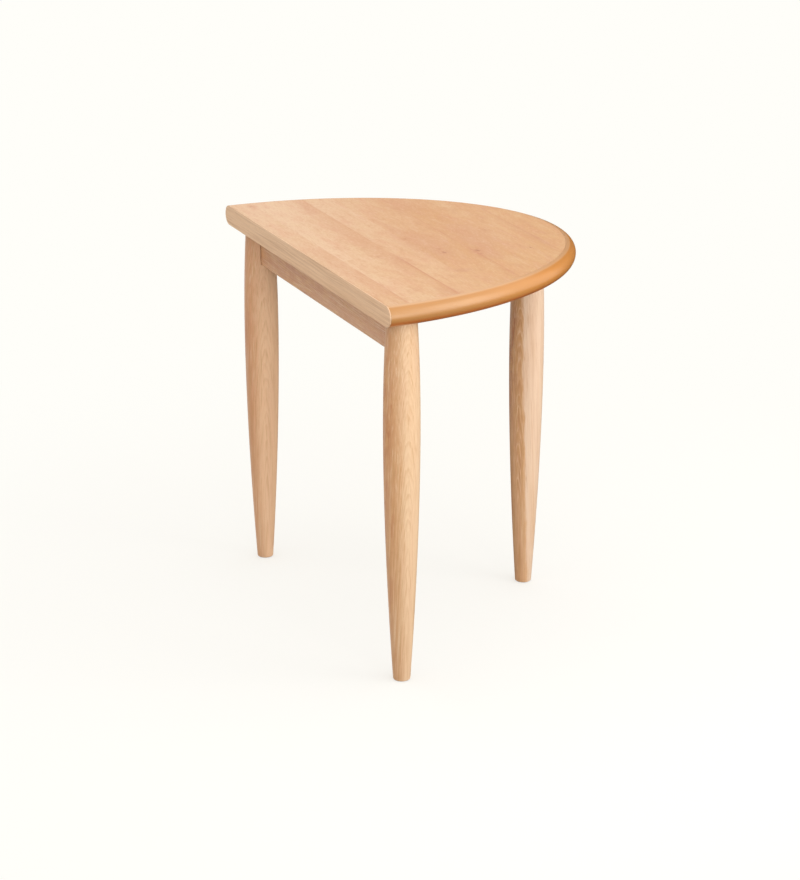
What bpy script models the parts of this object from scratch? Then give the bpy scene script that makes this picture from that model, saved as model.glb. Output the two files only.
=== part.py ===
"""Hall table: a half-oval top with a half-round moulded edge, on a T-shaped
underframe with three turned legs.

Lengths are metres and +Z is up. The origin is on the floor, under the middle of
the top's outline. The straight edge, which stands against the wall, faces +Y,
the curved front faces -Y, and the length runs along X.
"""

import math

import bmesh
import bpy
from mathutils import Matrix, Vector

# Overall sizes
TABLE_HEIGHT = 0.740
TOP_LENGTH = 0.802
TOP_DEPTH = 0.537
TOP_THICKNESS = 0.039

# Gap left between pieces that touch, and how far a cutter runs past its cut
JOINT_GAP = 0.0003
OVERRUN = 0.004
WELD_SHARE = 0.1

# Top: sheets, straight band and the moulded edge with its barbed spine
SHEET_THICKNESS = 0.001
BAND_THICKNESS = 0.002
BAND_EASING = 0.0004
CURVE_LEAD = 0.002
SPINE_DEPTH = 0.0135
SPINE_THICKNESS = 0.002
BARB_COUNT = 2
BARB_HEIGHT = 0.0006
BARB_LENGTH = 0.003
BARB_PITCH = 0.005
OVAL_STEPS = 48
NOSE_STEPS = 10

# Legs: the turned outline swells from the foot to a belly and narrows to the top
LEG_WALL_INSET = 0.0494
LEG_FRONT_INSET = 0.0636
LEG_END_INSET = 0.0605
LEG_BELLY_HEIGHT = 0.490
LEG_BELLY_RADIUS = 0.0340
LEG_FOOT_RADIUS = 0.0160
LEG_TOP_RADIUS = 0.0282
LOWER_TAPER_POWER = 1.8
UPPER_TAPER_POWER = 2.15
LEG_FOOT_ROUND = 0.0025
LEG_TOP_CHAMFER = 0.0008
LEG_SIDES = 32
LOWER_RINGS = 9
UPPER_RINGS = 5
ROUND_STEPS = 2

# Rails: both have one section, and their ends are housed in the legs
RAIL_THICKNESS = 0.020
RAIL_HEIGHT = 0.069
RAIL_EASING = 0.0012
HOUSING_FLOOR = 0.0205
HOUSING_SIDE_GAP = 0.0022
CROSS_HOUSING_DEPTH = 0.005

# Dowels across every rail joint
DOWEL_RADIUS = 0.005
DOWEL_LENGTH = 0.035
DOWEL_IN_LEG = 0.015
DOWEL_IN_RAIL_FACE = 0.009
DOWEL_SPACING = 0.034
DOWEL_CHAMFER = 0.001

# Corner blocks on both sides of the cross joint
BLOCK_SIDE = 0.030
BLOCK_HEIGHT = 0.055
BLOCK_CHAMFER = 0.012
BLOCK_SCREW_OFFSET = 0.007
BLOCK_SCREW_DROP = 0.034
COUNTERBORE_RADIUS = 0.0055
COUNTERBORE_DEPTH = 0.025

# Steel angle brackets that hold the top down
BRACKET_LEAF = 0.024
BRACKET_WIDTH = 0.018
BRACKET_THICKNESS = 0.0018
BRACKET_BEND = 0.002
BRACKET_CORNER = 0.005
BRACKET_HOLE = 0.0145
WALL_BRACKET_FROM_LEG = 0.0955
WALL_BRACKET_FROM_MIDDLE = 0.110
CENTRE_BRACKET_FROM_LEG = 0.110
CENTRE_BRACKET_STAGGER = 0.060
BEND_STEPS = 3

# Pan-head wood screws
SCREW_RADIUS = 0.002
SCREW_HEAD_RADIUS = 0.0041
SCREW_HEAD_HEIGHT = 0.0026
SCREW_POINT = 0.004
BRACKET_SCREW_LENGTH = 0.016
BLOCK_WALL_SCREW_LENGTH = 0.040
BLOCK_TOP_SCREW_LENGTH = 0.045
SMALL_SIDES = 12
HEAD_STEPS = 2

# Nail-in foot glides, sunk in the feet so that only their faces stand proud
GLIDE_HEIGHT = 0.003
GLIDE_PROUD = 0.0008
GLIDE_RADIUS = 0.0115
GLIDE_ROUND = 0.001
GLIDE_NAIL_RADIUS = 0.0016
GLIDE_NAIL_LENGTH = 0.016
GLIDE_NAIL_POINT = 0.004
GLIDE_SIDES = 20

# Places that follow from the sizes above
WELD_DISTANCE = JOINT_GAP * WELD_SHARE
NOSE_RADIUS = TOP_THICKNESS / 2
UNDERSIDE = TABLE_HEIGHT - TOP_THICKNESS
TOP_MIDDLE = TABLE_HEIGHT - TOP_THICKNESS / 2
WALL_FACE = TOP_DEPTH / 2
CURVE_START = WALL_FACE - BAND_THICKNESS - CURVE_LEAD
INNER_HALF_LENGTH = TOP_LENGTH / 2 - NOSE_RADIUS
INNER_DEPTH = TOP_DEPTH - BAND_THICKNESS - CURVE_LEAD - NOSE_RADIUS
WALL_LEG_X = TOP_LENGTH / 2 - LEG_END_INSET
WALL_LEG_Y = WALL_FACE - LEG_WALL_INSET
FRONT_LEG_Y = LEG_FRONT_INSET - TOP_DEPTH / 2
FRAME_TOP = UNDERSIDE - JOINT_GAP
RAIL_BOTTOM = FRAME_TOP - RAIL_HEIGHT
RAIL_MIDDLE = FRAME_TOP - RAIL_HEIGHT / 2
RAIL_END = HOUSING_FLOOR + JOINT_GAP
WALL_RAIL_INNER_FACE = WALL_LEG_Y - RAIL_THICKNESS / 2
CROSS_HOUSING_FLOOR = WALL_RAIL_INNER_FACE + CROSS_HOUSING_DEPTH
OUTER_BRACKET_X = WALL_LEG_X - WALL_BRACKET_FROM_LEG

SMOOTH_ANGLE = math.radians(35)
UP = Vector((0, 0, 1))
DOWN = -UP
RIGHT = Vector((1, 0, 0))
TO_WALL = Vector((0, 1, 0))
TO_FRONT = -TO_WALL


def clear_scene():
    for obj in list(bpy.data.objects):
        bpy.data.objects.remove(obj)


def new_collection(name, hidden=False):
    collection = bpy.data.collections.new(name)
    collection.hide_render = hidden
    bpy.context.scene.collection.children.link(collection)
    return collection


clear_scene()
TABLE = new_collection("hall_table")
CUTTERS = new_collection("cutters_and_guides", hidden=True)


def new_material(name, colour, roughness, metallic=0.0):
    material = bpy.data.materials.new(name)
    material.use_nodes = True
    shader = material.node_tree.nodes["Principled BSDF"]
    shader.inputs["Base Color"].default_value = (*colour, 1.0)
    shader.inputs["Roughness"].default_value = roughness
    shader.inputs["Metallic"].default_value = metallic
    material.diffuse_color = (*colour, 1.0)
    return material


MAPLE_LAMINATE = new_material("maple_laminate", (0.79, 0.49, 0.28), 0.50)
BACKING_PAPER = new_material("backing_laminate", (0.62, 0.50, 0.38), 0.60)
CORE_BOARD = new_material("core_board", (0.52, 0.38, 0.24), 0.85)
EDGE_PLASTIC = new_material("edge_plastic", (0.70, 0.33, 0.11), 0.34)
EDGE_VENEER = new_material("edge_veneer", (0.65, 0.42, 0.26), 0.48)
BEECH = new_material("solid_beech", (0.69, 0.42, 0.23), 0.42)
DOWEL_BEECH = new_material("dowel_beech", (0.66, 0.46, 0.28), 0.65)
ZINC_STEEL = new_material("zinc_steel", (0.62, 0.63, 0.64), 0.35, metallic=1.0)
NYLON = new_material("nylon", (0.80, 0.77, 0.70), 0.55)


def new_empty(name, parent=None):
    empty = bpy.data.objects.new(name, None)
    empty.parent = parent
    TABLE.objects.link(empty)
    return empty


ROOT = new_empty("hall_table")
TOP_ASSEMBLY = new_empty("top_assembly", ROOT)
UNDERFRAME = new_empty("underframe", ROOT)
FIXINGS = new_empty("fixings", ROOT)


def place(obj, material, parent):
    """Puts a finished piece in the table's collection, under its empty."""
    obj.data.materials.clear()
    obj.data.materials.append(material)
    obj.parent = parent
    TABLE.objects.link(obj)
    return obj


def hide_helper(obj):
    """A cutter or a guide: it shapes other pieces and isn't part of the table."""
    CUTTERS.objects.link(obj)
    obj.hide_render = True
    obj.display_type = "WIRE"
    return obj


def frame_matrix(origin, x_axis, z_axis):
    """Matrix of a local frame with its X and Z axes along the given directions."""
    y_axis = z_axis.cross(x_axis)
    matrix = Matrix((x_axis, y_axis, z_axis)).transposed().to_4x4()
    matrix.translation = origin
    return matrix


def aimed(origin, direction):
    """Matrix that turns local +Z to a direction, for pieces turned about their axis."""
    return Matrix.Translation(origin) @ direction.to_track_quat("Z", "Y").to_matrix().to_4x4()


def smooth(mesh):
    mesh.shade_smooth()
    mesh.set_sharp_from_angle(angle=SMOOTH_ANGLE)


def baked(obj):
    """A mesh object made from an evaluated curve or modifier stack, with its seams welded."""
    bpy.context.scene.collection.objects.link(obj)
    graph = bpy.context.evaluated_depsgraph_get()
    mesh = bpy.data.meshes.new_from_object(obj.evaluated_get(graph))
    edit = bmesh.new()
    edit.from_mesh(mesh)
    bmesh.ops.remove_doubles(edit, verts=edit.verts, dist=WELD_DISTANCE)
    bmesh.ops.recalc_face_normals(edit, faces=edit.faces)
    edit.to_mesh(mesh)
    edit.free()
    smooth(mesh)
    name = obj.name
    matrix = obj.matrix_world.copy()
    bpy.data.objects.remove(obj)
    solid = bpy.data.objects.new(name, mesh)
    solid.matrix_world = matrix
    return solid


def box(name, low, high, easing=0.0):
    """A cuboid between two corners, with eased edges if easing is more than zero."""
    low = Vector(low)
    high = Vector(high)
    mesh = bpy.data.meshes.new(name)
    edit = bmesh.new()
    bmesh.ops.create_cube(edit, size=1.0)
    bmesh.ops.scale(edit, vec=high - low, verts=edit.verts)
    edit.to_mesh(mesh)
    edit.free()
    obj = bpy.data.objects.new(name, mesh)
    obj.location = (low + high) / 2
    if easing:
        bevel = obj.modifiers.new("eased_edges", "BEVEL")
        bevel.width = easing
        bevel.segments = 2
    return obj


def turned(name, profile, sides):
    """A solid of revolution about local Z, from a profile of (radius, height) points
    that runs down its outer side, top to bottom."""
    mesh = bpy.data.meshes.new(name)
    points = [(radius, 0, height) for radius, height in profile]
    edges = [(i, i + 1) for i in range(len(points) - 1)]
    mesh.from_pydata(points, edges, [])
    obj = bpy.data.objects.new(name, mesh)
    screw = obj.modifiers.new("turning", "SCREW")
    screw.steps = sides
    screw.render_steps = sides
    screw.use_merge_vertices = True
    screw.merge_threshold = WELD_DISTANCE
    return baked(obj)


def outline_curve(name, points, half_thickness=0.0):
    """A closed flat outline as a 2D curve, filled and extruded about its own plane."""
    curve = bpy.data.curves.new(name, "CURVE")
    curve.dimensions = "2D"
    curve.fill_mode = "BOTH"
    curve.extrude = half_thickness
    spline = curve.splines.new("POLY")
    spline.points.add(len(points) - 1)
    for point, (x, y) in zip(spline.points, points):
        point.co = (x, y, 0, 1)
    spline.use_cyclic_u = True
    return bpy.data.objects.new(name, curve)


def plate(name, points, low, high, corner=(0, 0)):
    """A flat plate between two heights, its outline drawn from a corner in X and Y."""
    obj = outline_curve(name, points, (high - low) / 2)
    obj.location = (*corner, (low + high) / 2)
    return baked(obj)


def cut(piece, *cutters):
    """Takes each cutter out of a piece with a Boolean that stays on the object."""
    for cutter in cutters:
        boolean = piece.modifiers.new("cut_" + cutter.name, "BOOLEAN")
        boolean.operation = "DIFFERENCE"
        boolean.solver = "EXACT"
        boolean.object = cutter
    return piece


def hole_cutter(name, mouth, direction, depth, radius, sides=SMALL_SIDES):
    """A round hole that starts one overrun outside its mouth and ends flat."""
    profile = [(0, depth), (radius, depth), (radius, -OVERRUN), (0, -OVERRUN)]
    cutter = turned(name, profile, sides)
    cutter.matrix_world = aimed(mouth, direction)
    return hide_helper(cutter)


def box_cutter(name, low, high):
    return hide_helper(box(name, low, high))


def arc(centre_x, centre_y, radius, start, end, steps):
    """Points on a round stretch of an outline, both ends included."""
    angles = [start + (end - start) * i / steps for i in range(steps + 1)]
    return [(centre_x + radius * math.cos(a), centre_y + radius * math.sin(a)) for a in angles]


def oval_points():
    """The curve where the top's flat face meets its moulded edge, from right to left."""
    turns = [math.pi * i / OVAL_STEPS for i in range(OVAL_STEPS + 1)]
    return [
        (INNER_HALF_LENGTH * math.cos(turn), CURVE_START - INNER_DEPTH * math.sin(turn))
        for turn in turns
    ]


def panel_outline():
    """Outline of the core and the sheets: the oval, closed by the line behind the band."""
    straight = WALL_FACE - BAND_THICKNESS - JOINT_GAP
    return [(INNER_HALF_LENGTH, straight), *oval_points(), (-INNER_HALF_LENGTH, straight)]


def swept_along_edge(name, section, lead):
    """Sweeps a closed section round the curved edge. In the section, x is the distance
    out from the oval and y the height from the middle of the top's thickness. The sweep
    starts and ends a lead past the oval, square to the straight edge."""
    guide = hide_helper(outline_curve(name + "_section", section))
    guide.data.fill_mode = "NONE"
    curve = bpy.data.curves.new(name, "CURVE")
    curve.dimensions = "3D"
    curve.twist_mode = "Z_UP"
    curve.bevel_mode = "OBJECT"
    curve.bevel_object = guide
    curve.use_fill_caps = True
    oval = oval_points()
    right_end = (INNER_HALF_LENGTH, CURVE_START + lead)
    left_end = (-INNER_HALF_LENGTH, CURVE_START + lead)
    path = [left_end, *reversed(oval), right_end]
    spline = curve.splines.new("POLY")
    spline.points.add(len(path) - 1)
    for point, (x, y) in zip(spline.points, path):
        point.co = (x, y, 0, 1)
    obj = bpy.data.objects.new(name, curve)
    obj.location.z = TOP_MIDDLE
    return baked(obj)


def barb_points():
    """Upper side of the spine's section, from its root to its tip."""
    surface = SPINE_THICKNESS / 2
    points = [(JOINT_GAP, surface)]
    for index in range(BARB_COUNT):
        back = -SPINE_DEPTH + BARB_LENGTH + BARB_PITCH * (BARB_COUNT - 1 - index)
        points += [
            (back, surface),
            (back, surface + BARB_HEIGHT),
            (back - BARB_LENGTH, surface),
        ]
    return points


def moulding_section():
    """Half-round nose with a flat back and a barbed spine."""
    nose = arc(0, 0, NOSE_RADIUS, -math.pi / 2, math.pi / 2, NOSE_STEPS)[1:-1]
    upper = barb_points()
    lower = [(x, -y) for x, y in reversed(upper)]
    return [
        (JOINT_GAP, -NOSE_RADIUS),
        *nose,
        (JOINT_GAP, NOSE_RADIUS),
        *upper,
        *lower,
    ]


def groove_cutter():
    """The slot round the core's edge that takes the moulding's spine."""
    half = SPINE_THICKNESS / 2 + BARB_HEIGHT + JOINT_GAP
    depth = SPINE_DEPTH + JOINT_GAP
    section = [(-depth, -half), (OVERRUN, -half), (OVERRUN, half), (-depth, half)]
    return hide_helper(swept_along_edge("spine_groove", section, CURVE_LEAD + OVERRUN))


def screw_profile(length):
    """Pan head above zero height, shank and point below it."""
    dome = arc(0, 0, 1, math.pi / 2, 0, HEAD_STEPS)[1:]
    head = [(x * SCREW_HEAD_RADIUS, y * SCREW_HEAD_HEIGHT) for x, y in dome]
    return [
        (0, SCREW_HEAD_HEIGHT),
        *head,
        (SCREW_RADIUS, 0),
        (SCREW_RADIUS, SCREW_POINT - length),
        (0, -length),
    ]


def drive_screw(name, seat, direction, length):
    """A screw whose head rests one joint gap off its seat, driven in a direction."""
    screw = turned(name, screw_profile(length), SMALL_SIDES)
    screw.matrix_world = aimed(seat - direction * JOINT_GAP, -direction)
    return place(screw, ZINC_STEEL, FIXINGS)


def screw_pilot(name, seat, direction, length):
    """The hole that a screw of this length fills behind its seat."""
    return hole_cutter(name, seat, direction, length, SCREW_RADIUS + JOINT_GAP)


def add_dowels(name, joint, direction, depth_ahead):
    """Two dowels across a joint face, and the cutters for their holes.

    The joint is the middle of the joint face. Each dowel reaches a depth ahead of it
    along the direction, and the rest of its length behind it.
    """
    cutters = []
    for place_name, height in (("upper", DOWEL_SPACING / 2), ("lower", -DOWEL_SPACING / 2)):
        centre = joint + UP * height
        behind = DOWEL_LENGTH - depth_ahead
        profile = [
            (0, DOWEL_LENGTH),
            (DOWEL_RADIUS - DOWEL_CHAMFER, DOWEL_LENGTH),
            (DOWEL_RADIUS, DOWEL_LENGTH - DOWEL_CHAMFER),
            (DOWEL_RADIUS, DOWEL_CHAMFER),
            (DOWEL_RADIUS - DOWEL_CHAMFER, 0),
            (0, 0),
        ]
        dowel = turned(f"{name}_{place_name}", profile, SMALL_SIDES)
        dowel.matrix_world = aimed(centre - direction * behind, direction)
        place(dowel, DOWEL_BEECH, FIXINGS)
        start = centre - direction * (behind + JOINT_GAP)
        radius = DOWEL_RADIUS + JOINT_GAP
        length = DOWEL_LENGTH + 2 * JOINT_GAP
        hole = turned(
            f"{name}_{place_name}_hole",
            [(0, length), (radius, length), (radius, 0), (0, 0)],
            SMALL_SIDES,
        )
        hole.matrix_world = aimed(start, direction)
        cutters.append(hide_helper(hole))
    return cutters


def leg_radius(height):
    """Radius of the turned leg at a height above the floor."""
    if height < LEG_BELLY_HEIGHT:
        share = (LEG_BELLY_HEIGHT - height) / LEG_BELLY_HEIGHT
        return LEG_BELLY_RADIUS - (LEG_BELLY_RADIUS - LEG_FOOT_RADIUS) * share**LOWER_TAPER_POWER
    share = (height - LEG_BELLY_HEIGHT) / (FRAME_TOP - LEG_BELLY_HEIGHT)
    return LEG_BELLY_RADIUS - (LEG_BELLY_RADIUS - LEG_TOP_RADIUS) * share**UPPER_TAPER_POWER


def leg_profile():
    """Outline of the leg, from its top down the outside to the middle of its foot."""
    round_top = GLIDE_PROUD + LEG_FOOT_ROUND
    shoulder = FRAME_TOP - LEG_TOP_CHAMFER
    points = [(0, FRAME_TOP), (leg_radius(FRAME_TOP) - LEG_TOP_CHAMFER, FRAME_TOP)]
    for i in range(UPPER_RINGS):
        height = shoulder + (LEG_BELLY_HEIGHT - shoulder) * i / UPPER_RINGS
        points.append((leg_radius(height), height))
    for i in range(LOWER_RINGS):
        height = LEG_BELLY_HEIGHT + (round_top - LEG_BELLY_HEIGHT) * i / LOWER_RINGS
        points.append((leg_radius(height), height))
    corner = leg_radius(round_top) - LEG_FOOT_ROUND
    points += arc(corner, round_top, LEG_FOOT_ROUND, 0, -math.pi / 2, ROUND_STEPS)
    points.append((0, GLIDE_PROUD))
    return points


def build_leg(name, x, y, rail_direction):
    """A turned leg with a housing for its rail, dowel holes and a seat for its glide."""
    leg = turned(name, leg_profile(), LEG_SIDES)
    leg.location = (x, y, 0)
    axis = Vector((x, y, 0))
    side = Vector((abs(rail_direction.y), abs(rail_direction.x), 0))
    half_width = RAIL_THICKNESS / 2 + HOUSING_SIDE_GAP
    near = axis + rail_direction * HOUSING_FLOOR - side * half_width
    far = axis + rail_direction * (LEG_BELLY_RADIUS + OVERRUN) + side * half_width
    near.z = RAIL_BOTTOM - JOINT_GAP
    far.z = FRAME_TOP + OVERRUN
    low = [min(a, b) for a, b in zip(near, far)]
    high = [max(a, b) for a, b in zip(near, far)]
    housing = box_cutter(name + "_housing", low, high)
    joint = axis + rail_direction * (HOUSING_FLOOR + JOINT_GAP / 2) + UP * RAIL_MIDDLE
    dowel_holes = add_dowels(name + "_dowel", joint, -rail_direction, DOWEL_IN_LEG)
    glide_seat = hole_cutter(
        name + "_glide_seat",
        axis + UP * GLIDE_PROUD,
        UP,
        GLIDE_HEIGHT - GLIDE_PROUD + JOINT_GAP,
        GLIDE_RADIUS + JOINT_GAP,
        GLIDE_SIDES,
    )
    nail_hole = hole_cutter(
        name + "_nail_hole",
        axis + UP * (GLIDE_HEIGHT + JOINT_GAP),
        UP,
        GLIDE_NAIL_LENGTH,
        GLIDE_NAIL_RADIUS + JOINT_GAP,
    )
    cut(leg, housing, *dowel_holes, glide_seat, nail_hole)
    place(leg, BEECH, UNDERFRAME)
    return dowel_holes


def build_glide(name, x, y):
    """A rounded nylon pad on a nail, sunk in one foot."""
    rim = GLIDE_RADIUS - GLIDE_ROUND
    profile = [
        (0, GLIDE_HEIGHT + GLIDE_NAIL_LENGTH - JOINT_GAP),
        (GLIDE_NAIL_RADIUS, GLIDE_HEIGHT + GLIDE_NAIL_LENGTH - GLIDE_NAIL_POINT),
        (GLIDE_NAIL_RADIUS, GLIDE_HEIGHT),
        *arc(rim, GLIDE_HEIGHT - GLIDE_ROUND, GLIDE_ROUND, math.pi / 2, 0, ROUND_STEPS),
        *arc(rim, GLIDE_ROUND, GLIDE_ROUND, 0, -math.pi / 2, ROUND_STEPS),
        (0, 0),
    ]
    glide = turned(name, profile, GLIDE_SIDES)
    glide.location = (x, y, 0)
    place(glide, NYLON, FIXINGS)


def build_wall_rail(leg_dowel_holes, cross_dowel_holes, pilots):
    """The long rail between the two legs at the wall, housed for the centre rail."""
    half_length = WALL_LEG_X - RAIL_END
    half_width = RAIL_THICKNESS / 2
    rail = box(
        "wall_rail",
        (-half_length, WALL_LEG_Y - half_width, RAIL_BOTTOM),
        (half_length, WALL_LEG_Y + half_width, FRAME_TOP),
        RAIL_EASING,
    )
    cross_half = RAIL_THICKNESS / 2 + JOINT_GAP
    housing = box_cutter(
        "wall_rail_housing",
        (-cross_half, WALL_RAIL_INNER_FACE - OVERRUN, RAIL_BOTTOM - OVERRUN),
        (cross_half, CROSS_HOUSING_FLOOR, FRAME_TOP + OVERRUN),
    )
    cut(rail, housing, *leg_dowel_holes, *cross_dowel_holes, *pilots)
    place(rail, BEECH, UNDERFRAME)


def build_centre_rail(leg_dowel_holes, cross_dowel_holes, pilots):
    """The rail that ties the front leg to the middle of the wall rail."""
    half_width = RAIL_THICKNESS / 2
    rail = box(
        "centre_rail",
        (-half_width, FRONT_LEG_Y + RAIL_END, RAIL_BOTTOM),
        (half_width, CROSS_HOUSING_FLOOR - JOINT_GAP, FRAME_TOP),
        RAIL_EASING,
    )
    cut(rail, *leg_dowel_holes, *cross_dowel_holes, *pilots)
    place(rail, BEECH, UNDERFRAME)


def block_outline(side):
    """Plan of a corner block, with its free corner cut off. The origin is the corner
    where the two rails meet, x runs out along the wall rail and y towards the wall."""
    near = JOINT_GAP
    far = JOINT_GAP + BLOCK_SIDE
    points = [
        (near, -near),
        (near, -far),
        (far - BLOCK_CHAMFER, -far),
        (far, BLOCK_CHAMFER - far),
        (far, -near),
    ]
    return [(x * side, y) for x, y in points]


def build_corner_block(side, side_name):
    """A glued block in one corner of the cross joint, with a screw into the wall rail and
    a counterbored screw up into the top. Returns the pilot holes of both screws."""
    name = f"corner_block_{side_name}"
    corner = Vector((side * RAIL_THICKNESS / 2, WALL_RAIL_INNER_FACE, 0))
    bottom = FRAME_TOP - BLOCK_HEIGHT
    block = plate(name, block_outline(side), bottom, FRAME_TOP, corner.xy)
    middle = JOINT_GAP + BLOCK_SIDE / 2

    across = middle + BLOCK_SCREW_OFFSET - BLOCK_CHAMFER
    wall_seat = corner + Vector((side * across, -JOINT_GAP - BLOCK_SIDE, 0))
    wall_seat.z = FRAME_TOP - BLOCK_SCREW_DROP
    wall_pilot = screw_pilot(name + "_wall_pilot", wall_seat, TO_WALL, BLOCK_WALL_SCREW_LENGTH)

    out = middle + BLOCK_SCREW_OFFSET
    top_seat = corner + Vector((side * out, BLOCK_SCREW_OFFSET / 2 - middle, 0))
    top_seat.z = bottom + COUNTERBORE_DEPTH
    top_pilot = screw_pilot(name + "_top_pilot", top_seat, UP, BLOCK_TOP_SCREW_LENGTH)
    counterbore = hole_cutter(
        name + "_counterbore",
        top_seat - UP * COUNTERBORE_DEPTH,
        UP,
        COUNTERBORE_DEPTH,
        COUNTERBORE_RADIUS,
    )
    cut(block, wall_pilot, top_pilot, counterbore)
    place(block, BEECH, UNDERFRAME)
    drive_screw(name + "_wall_screw", wall_seat, TO_WALL, BLOCK_WALL_SCREW_LENGTH)
    drive_screw(name + "_top_screw", top_seat, UP, BLOCK_TOP_SCREW_LENGTH)
    return wall_pilot, top_pilot


def bracket_section():
    """Section of the bent angle. The origin is the corner between rail and top, x runs
    out from the rail and y runs down from the top."""
    near = JOINT_GAP
    inner = JOINT_GAP + BRACKET_THICKNESS
    far = JOINT_GAP + BRACKET_LEAF
    outer_round = BRACKET_BEND + BRACKET_THICKNESS
    centre = inner + BRACKET_BEND
    return [
        (far, near),
        (far, inner),
        *arc(centre, centre, BRACKET_BEND, -math.pi / 2, -math.pi, BEND_STEPS),
        (inner, far),
        (near, far),
        *arc(centre, centre, outer_round, -math.pi, -math.pi / 2, BEND_STEPS),
    ]


def round_leaf_corners(mesh):
    """Rounds the four corners at the ends of a bracket's leaves."""
    edit = bmesh.new()
    edit.from_mesh(mesh)
    corners = [
        edge
        for edge in edit.edges
        if all(max(vert.co.x, vert.co.y) > BRACKET_LEAF for vert in edge.verts)
        and edge.verts[0].co.z * edge.verts[1].co.z > 0
    ]
    bmesh.ops.bevel(
        edit,
        geom=corners,
        offset=BRACKET_CORNER,
        offset_type="OFFSET",
        segments=BEND_STEPS,
        profile=0.5,
        affect="EDGES",
    )
    edit.to_mesh(mesh)
    edit.free()


def build_bracket(name, rail_point, outward):
    """An angle bracket between a rail's face and the top, with its two screws.

    The rail point lies on the rail's face at the bracket's middle. Returns the pilot hole
    in the rail and the one in the top.
    """
    corner = rail_point.copy()
    corner.z = UNDERSIDE
    blank = baked(outline_curve(name, bracket_section(), BRACKET_WIDTH / 2))
    round_leaf_corners(blank.data)
    blank.matrix_world = frame_matrix(corner, outward, outward.cross(DOWN))
    surface = JOINT_GAP + BRACKET_THICKNESS
    reach = JOINT_GAP + BRACKET_HOLE
    rail_seat = corner + outward * surface + DOWN * reach
    top_seat = corner + outward * reach + DOWN * surface
    rail_pilot = screw_pilot(name + "_rail_pilot", rail_seat, -outward, BRACKET_SCREW_LENGTH)
    top_pilot = screw_pilot(name + "_top_pilot", top_seat, UP, BRACKET_SCREW_LENGTH)
    cut(blank, rail_pilot, top_pilot)
    place(blank, ZINC_STEEL, FIXINGS)
    drive_screw(name + "_rail_screw", rail_seat, -outward, BRACKET_SCREW_LENGTH)
    drive_screw(name + "_top_screw", top_seat, UP, BRACKET_SCREW_LENGTH)
    return rail_pilot, top_pilot


def bracket_places():
    """(name, point on the rail's face, direction out of the face) of every bracket."""
    wall_places = (
        ("outer_left", -OUTER_BRACKET_X),
        ("inner_left", -WALL_BRACKET_FROM_MIDDLE),
        ("inner_right", WALL_BRACKET_FROM_MIDDLE),
        ("outer_right", OUTER_BRACKET_X),
    )
    places = [
        (f"wall_bracket_{where}", Vector((x, WALL_RAIL_INNER_FACE, 0)), TO_FRONT)
        for where, x in wall_places
    ]
    middle = FRONT_LEG_Y + CENTRE_BRACKET_FROM_LEG
    for side, where in ((-1, "left"), (1, "right")):
        y = middle + side * CENTRE_BRACKET_STAGGER / 2
        face = Vector((side * RAIL_THICKNESS / 2, y, 0))
        places.append((f"centre_bracket_{where}", face, RIGHT * side))
    return places


def build_underframe():
    """Legs, rails, blocks, brackets and their fixings. Returns the pilots in the top."""
    legs = (
        ("wall_leg_left", -WALL_LEG_X, WALL_LEG_Y, RIGHT),
        ("wall_leg_right", WALL_LEG_X, WALL_LEG_Y, -RIGHT),
        ("front_leg", 0, FRONT_LEG_Y, TO_WALL),
    )
    holes = {name: build_leg(name, x, y, towards) for name, x, y, towards in legs}
    for name, x, y, _ in legs:
        build_glide(name.replace("leg", "glide"), x, y)

    cross_joint = Vector((0, CROSS_HOUSING_FLOOR - JOINT_GAP / 2, RAIL_MIDDLE))
    cross_holes = add_dowels("cross_joint_dowel", cross_joint, TO_WALL, DOWEL_IN_RAIL_FACE)

    wall_pilots = []
    centre_pilots = []
    top_pilots = []
    for side, side_name in ((-1, "left"), (1, "right")):
        wall_pilot, top_pilot = build_corner_block(side, side_name)
        wall_pilots.append(wall_pilot)
        top_pilots.append(top_pilot)
    for name, face, outward in bracket_places():
        rail_pilot, top_pilot = build_bracket(name, face, outward)
        rail_pilots = wall_pilots if outward == TO_FRONT else centre_pilots
        rail_pilots.append(rail_pilot)
        top_pilots.append(top_pilot)

    wall_holes = holes["wall_leg_left"] + holes["wall_leg_right"]
    build_wall_rail(wall_holes, cross_holes, wall_pilots)
    build_centre_rail(holes["front_leg"], cross_holes, centre_pilots)
    return top_pilots


def build_panel(name, low, high, material, cutters=()):
    """One layer of the top, cut to the panel's outline."""
    layer = plate(name, panel_outline(), low, high)
    cut(layer, *cutters)
    return place(layer, material, TOP_ASSEMBLY)


def build_band():
    """The veneered band on the straight edge, with ends that follow the half-round nose."""
    end_centre = TOP_LENGTH / 2 - NOSE_RADIUS
    right = arc(end_centre, 0, NOSE_RADIUS, -math.pi / 2, math.pi / 2, NOSE_STEPS)
    left = arc(-end_centre, 0, NOSE_RADIUS, math.pi / 2, 3 * math.pi / 2, NOSE_STEPS)
    blank = baked(outline_curve("straight_edge_band", right + left, BAND_THICKNESS / 2))
    middle = Vector((0, WALL_FACE - BAND_THICKNESS / 2, TOP_MIDDLE))
    blank.matrix_world = frame_matrix(middle, RIGHT, TO_FRONT)
    easing = blank.modifiers.new("eased_edges", "BEVEL")
    easing.width = BAND_EASING
    easing.segments = 2
    place(blank, EDGE_VENEER, TOP_ASSEMBLY)


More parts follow.
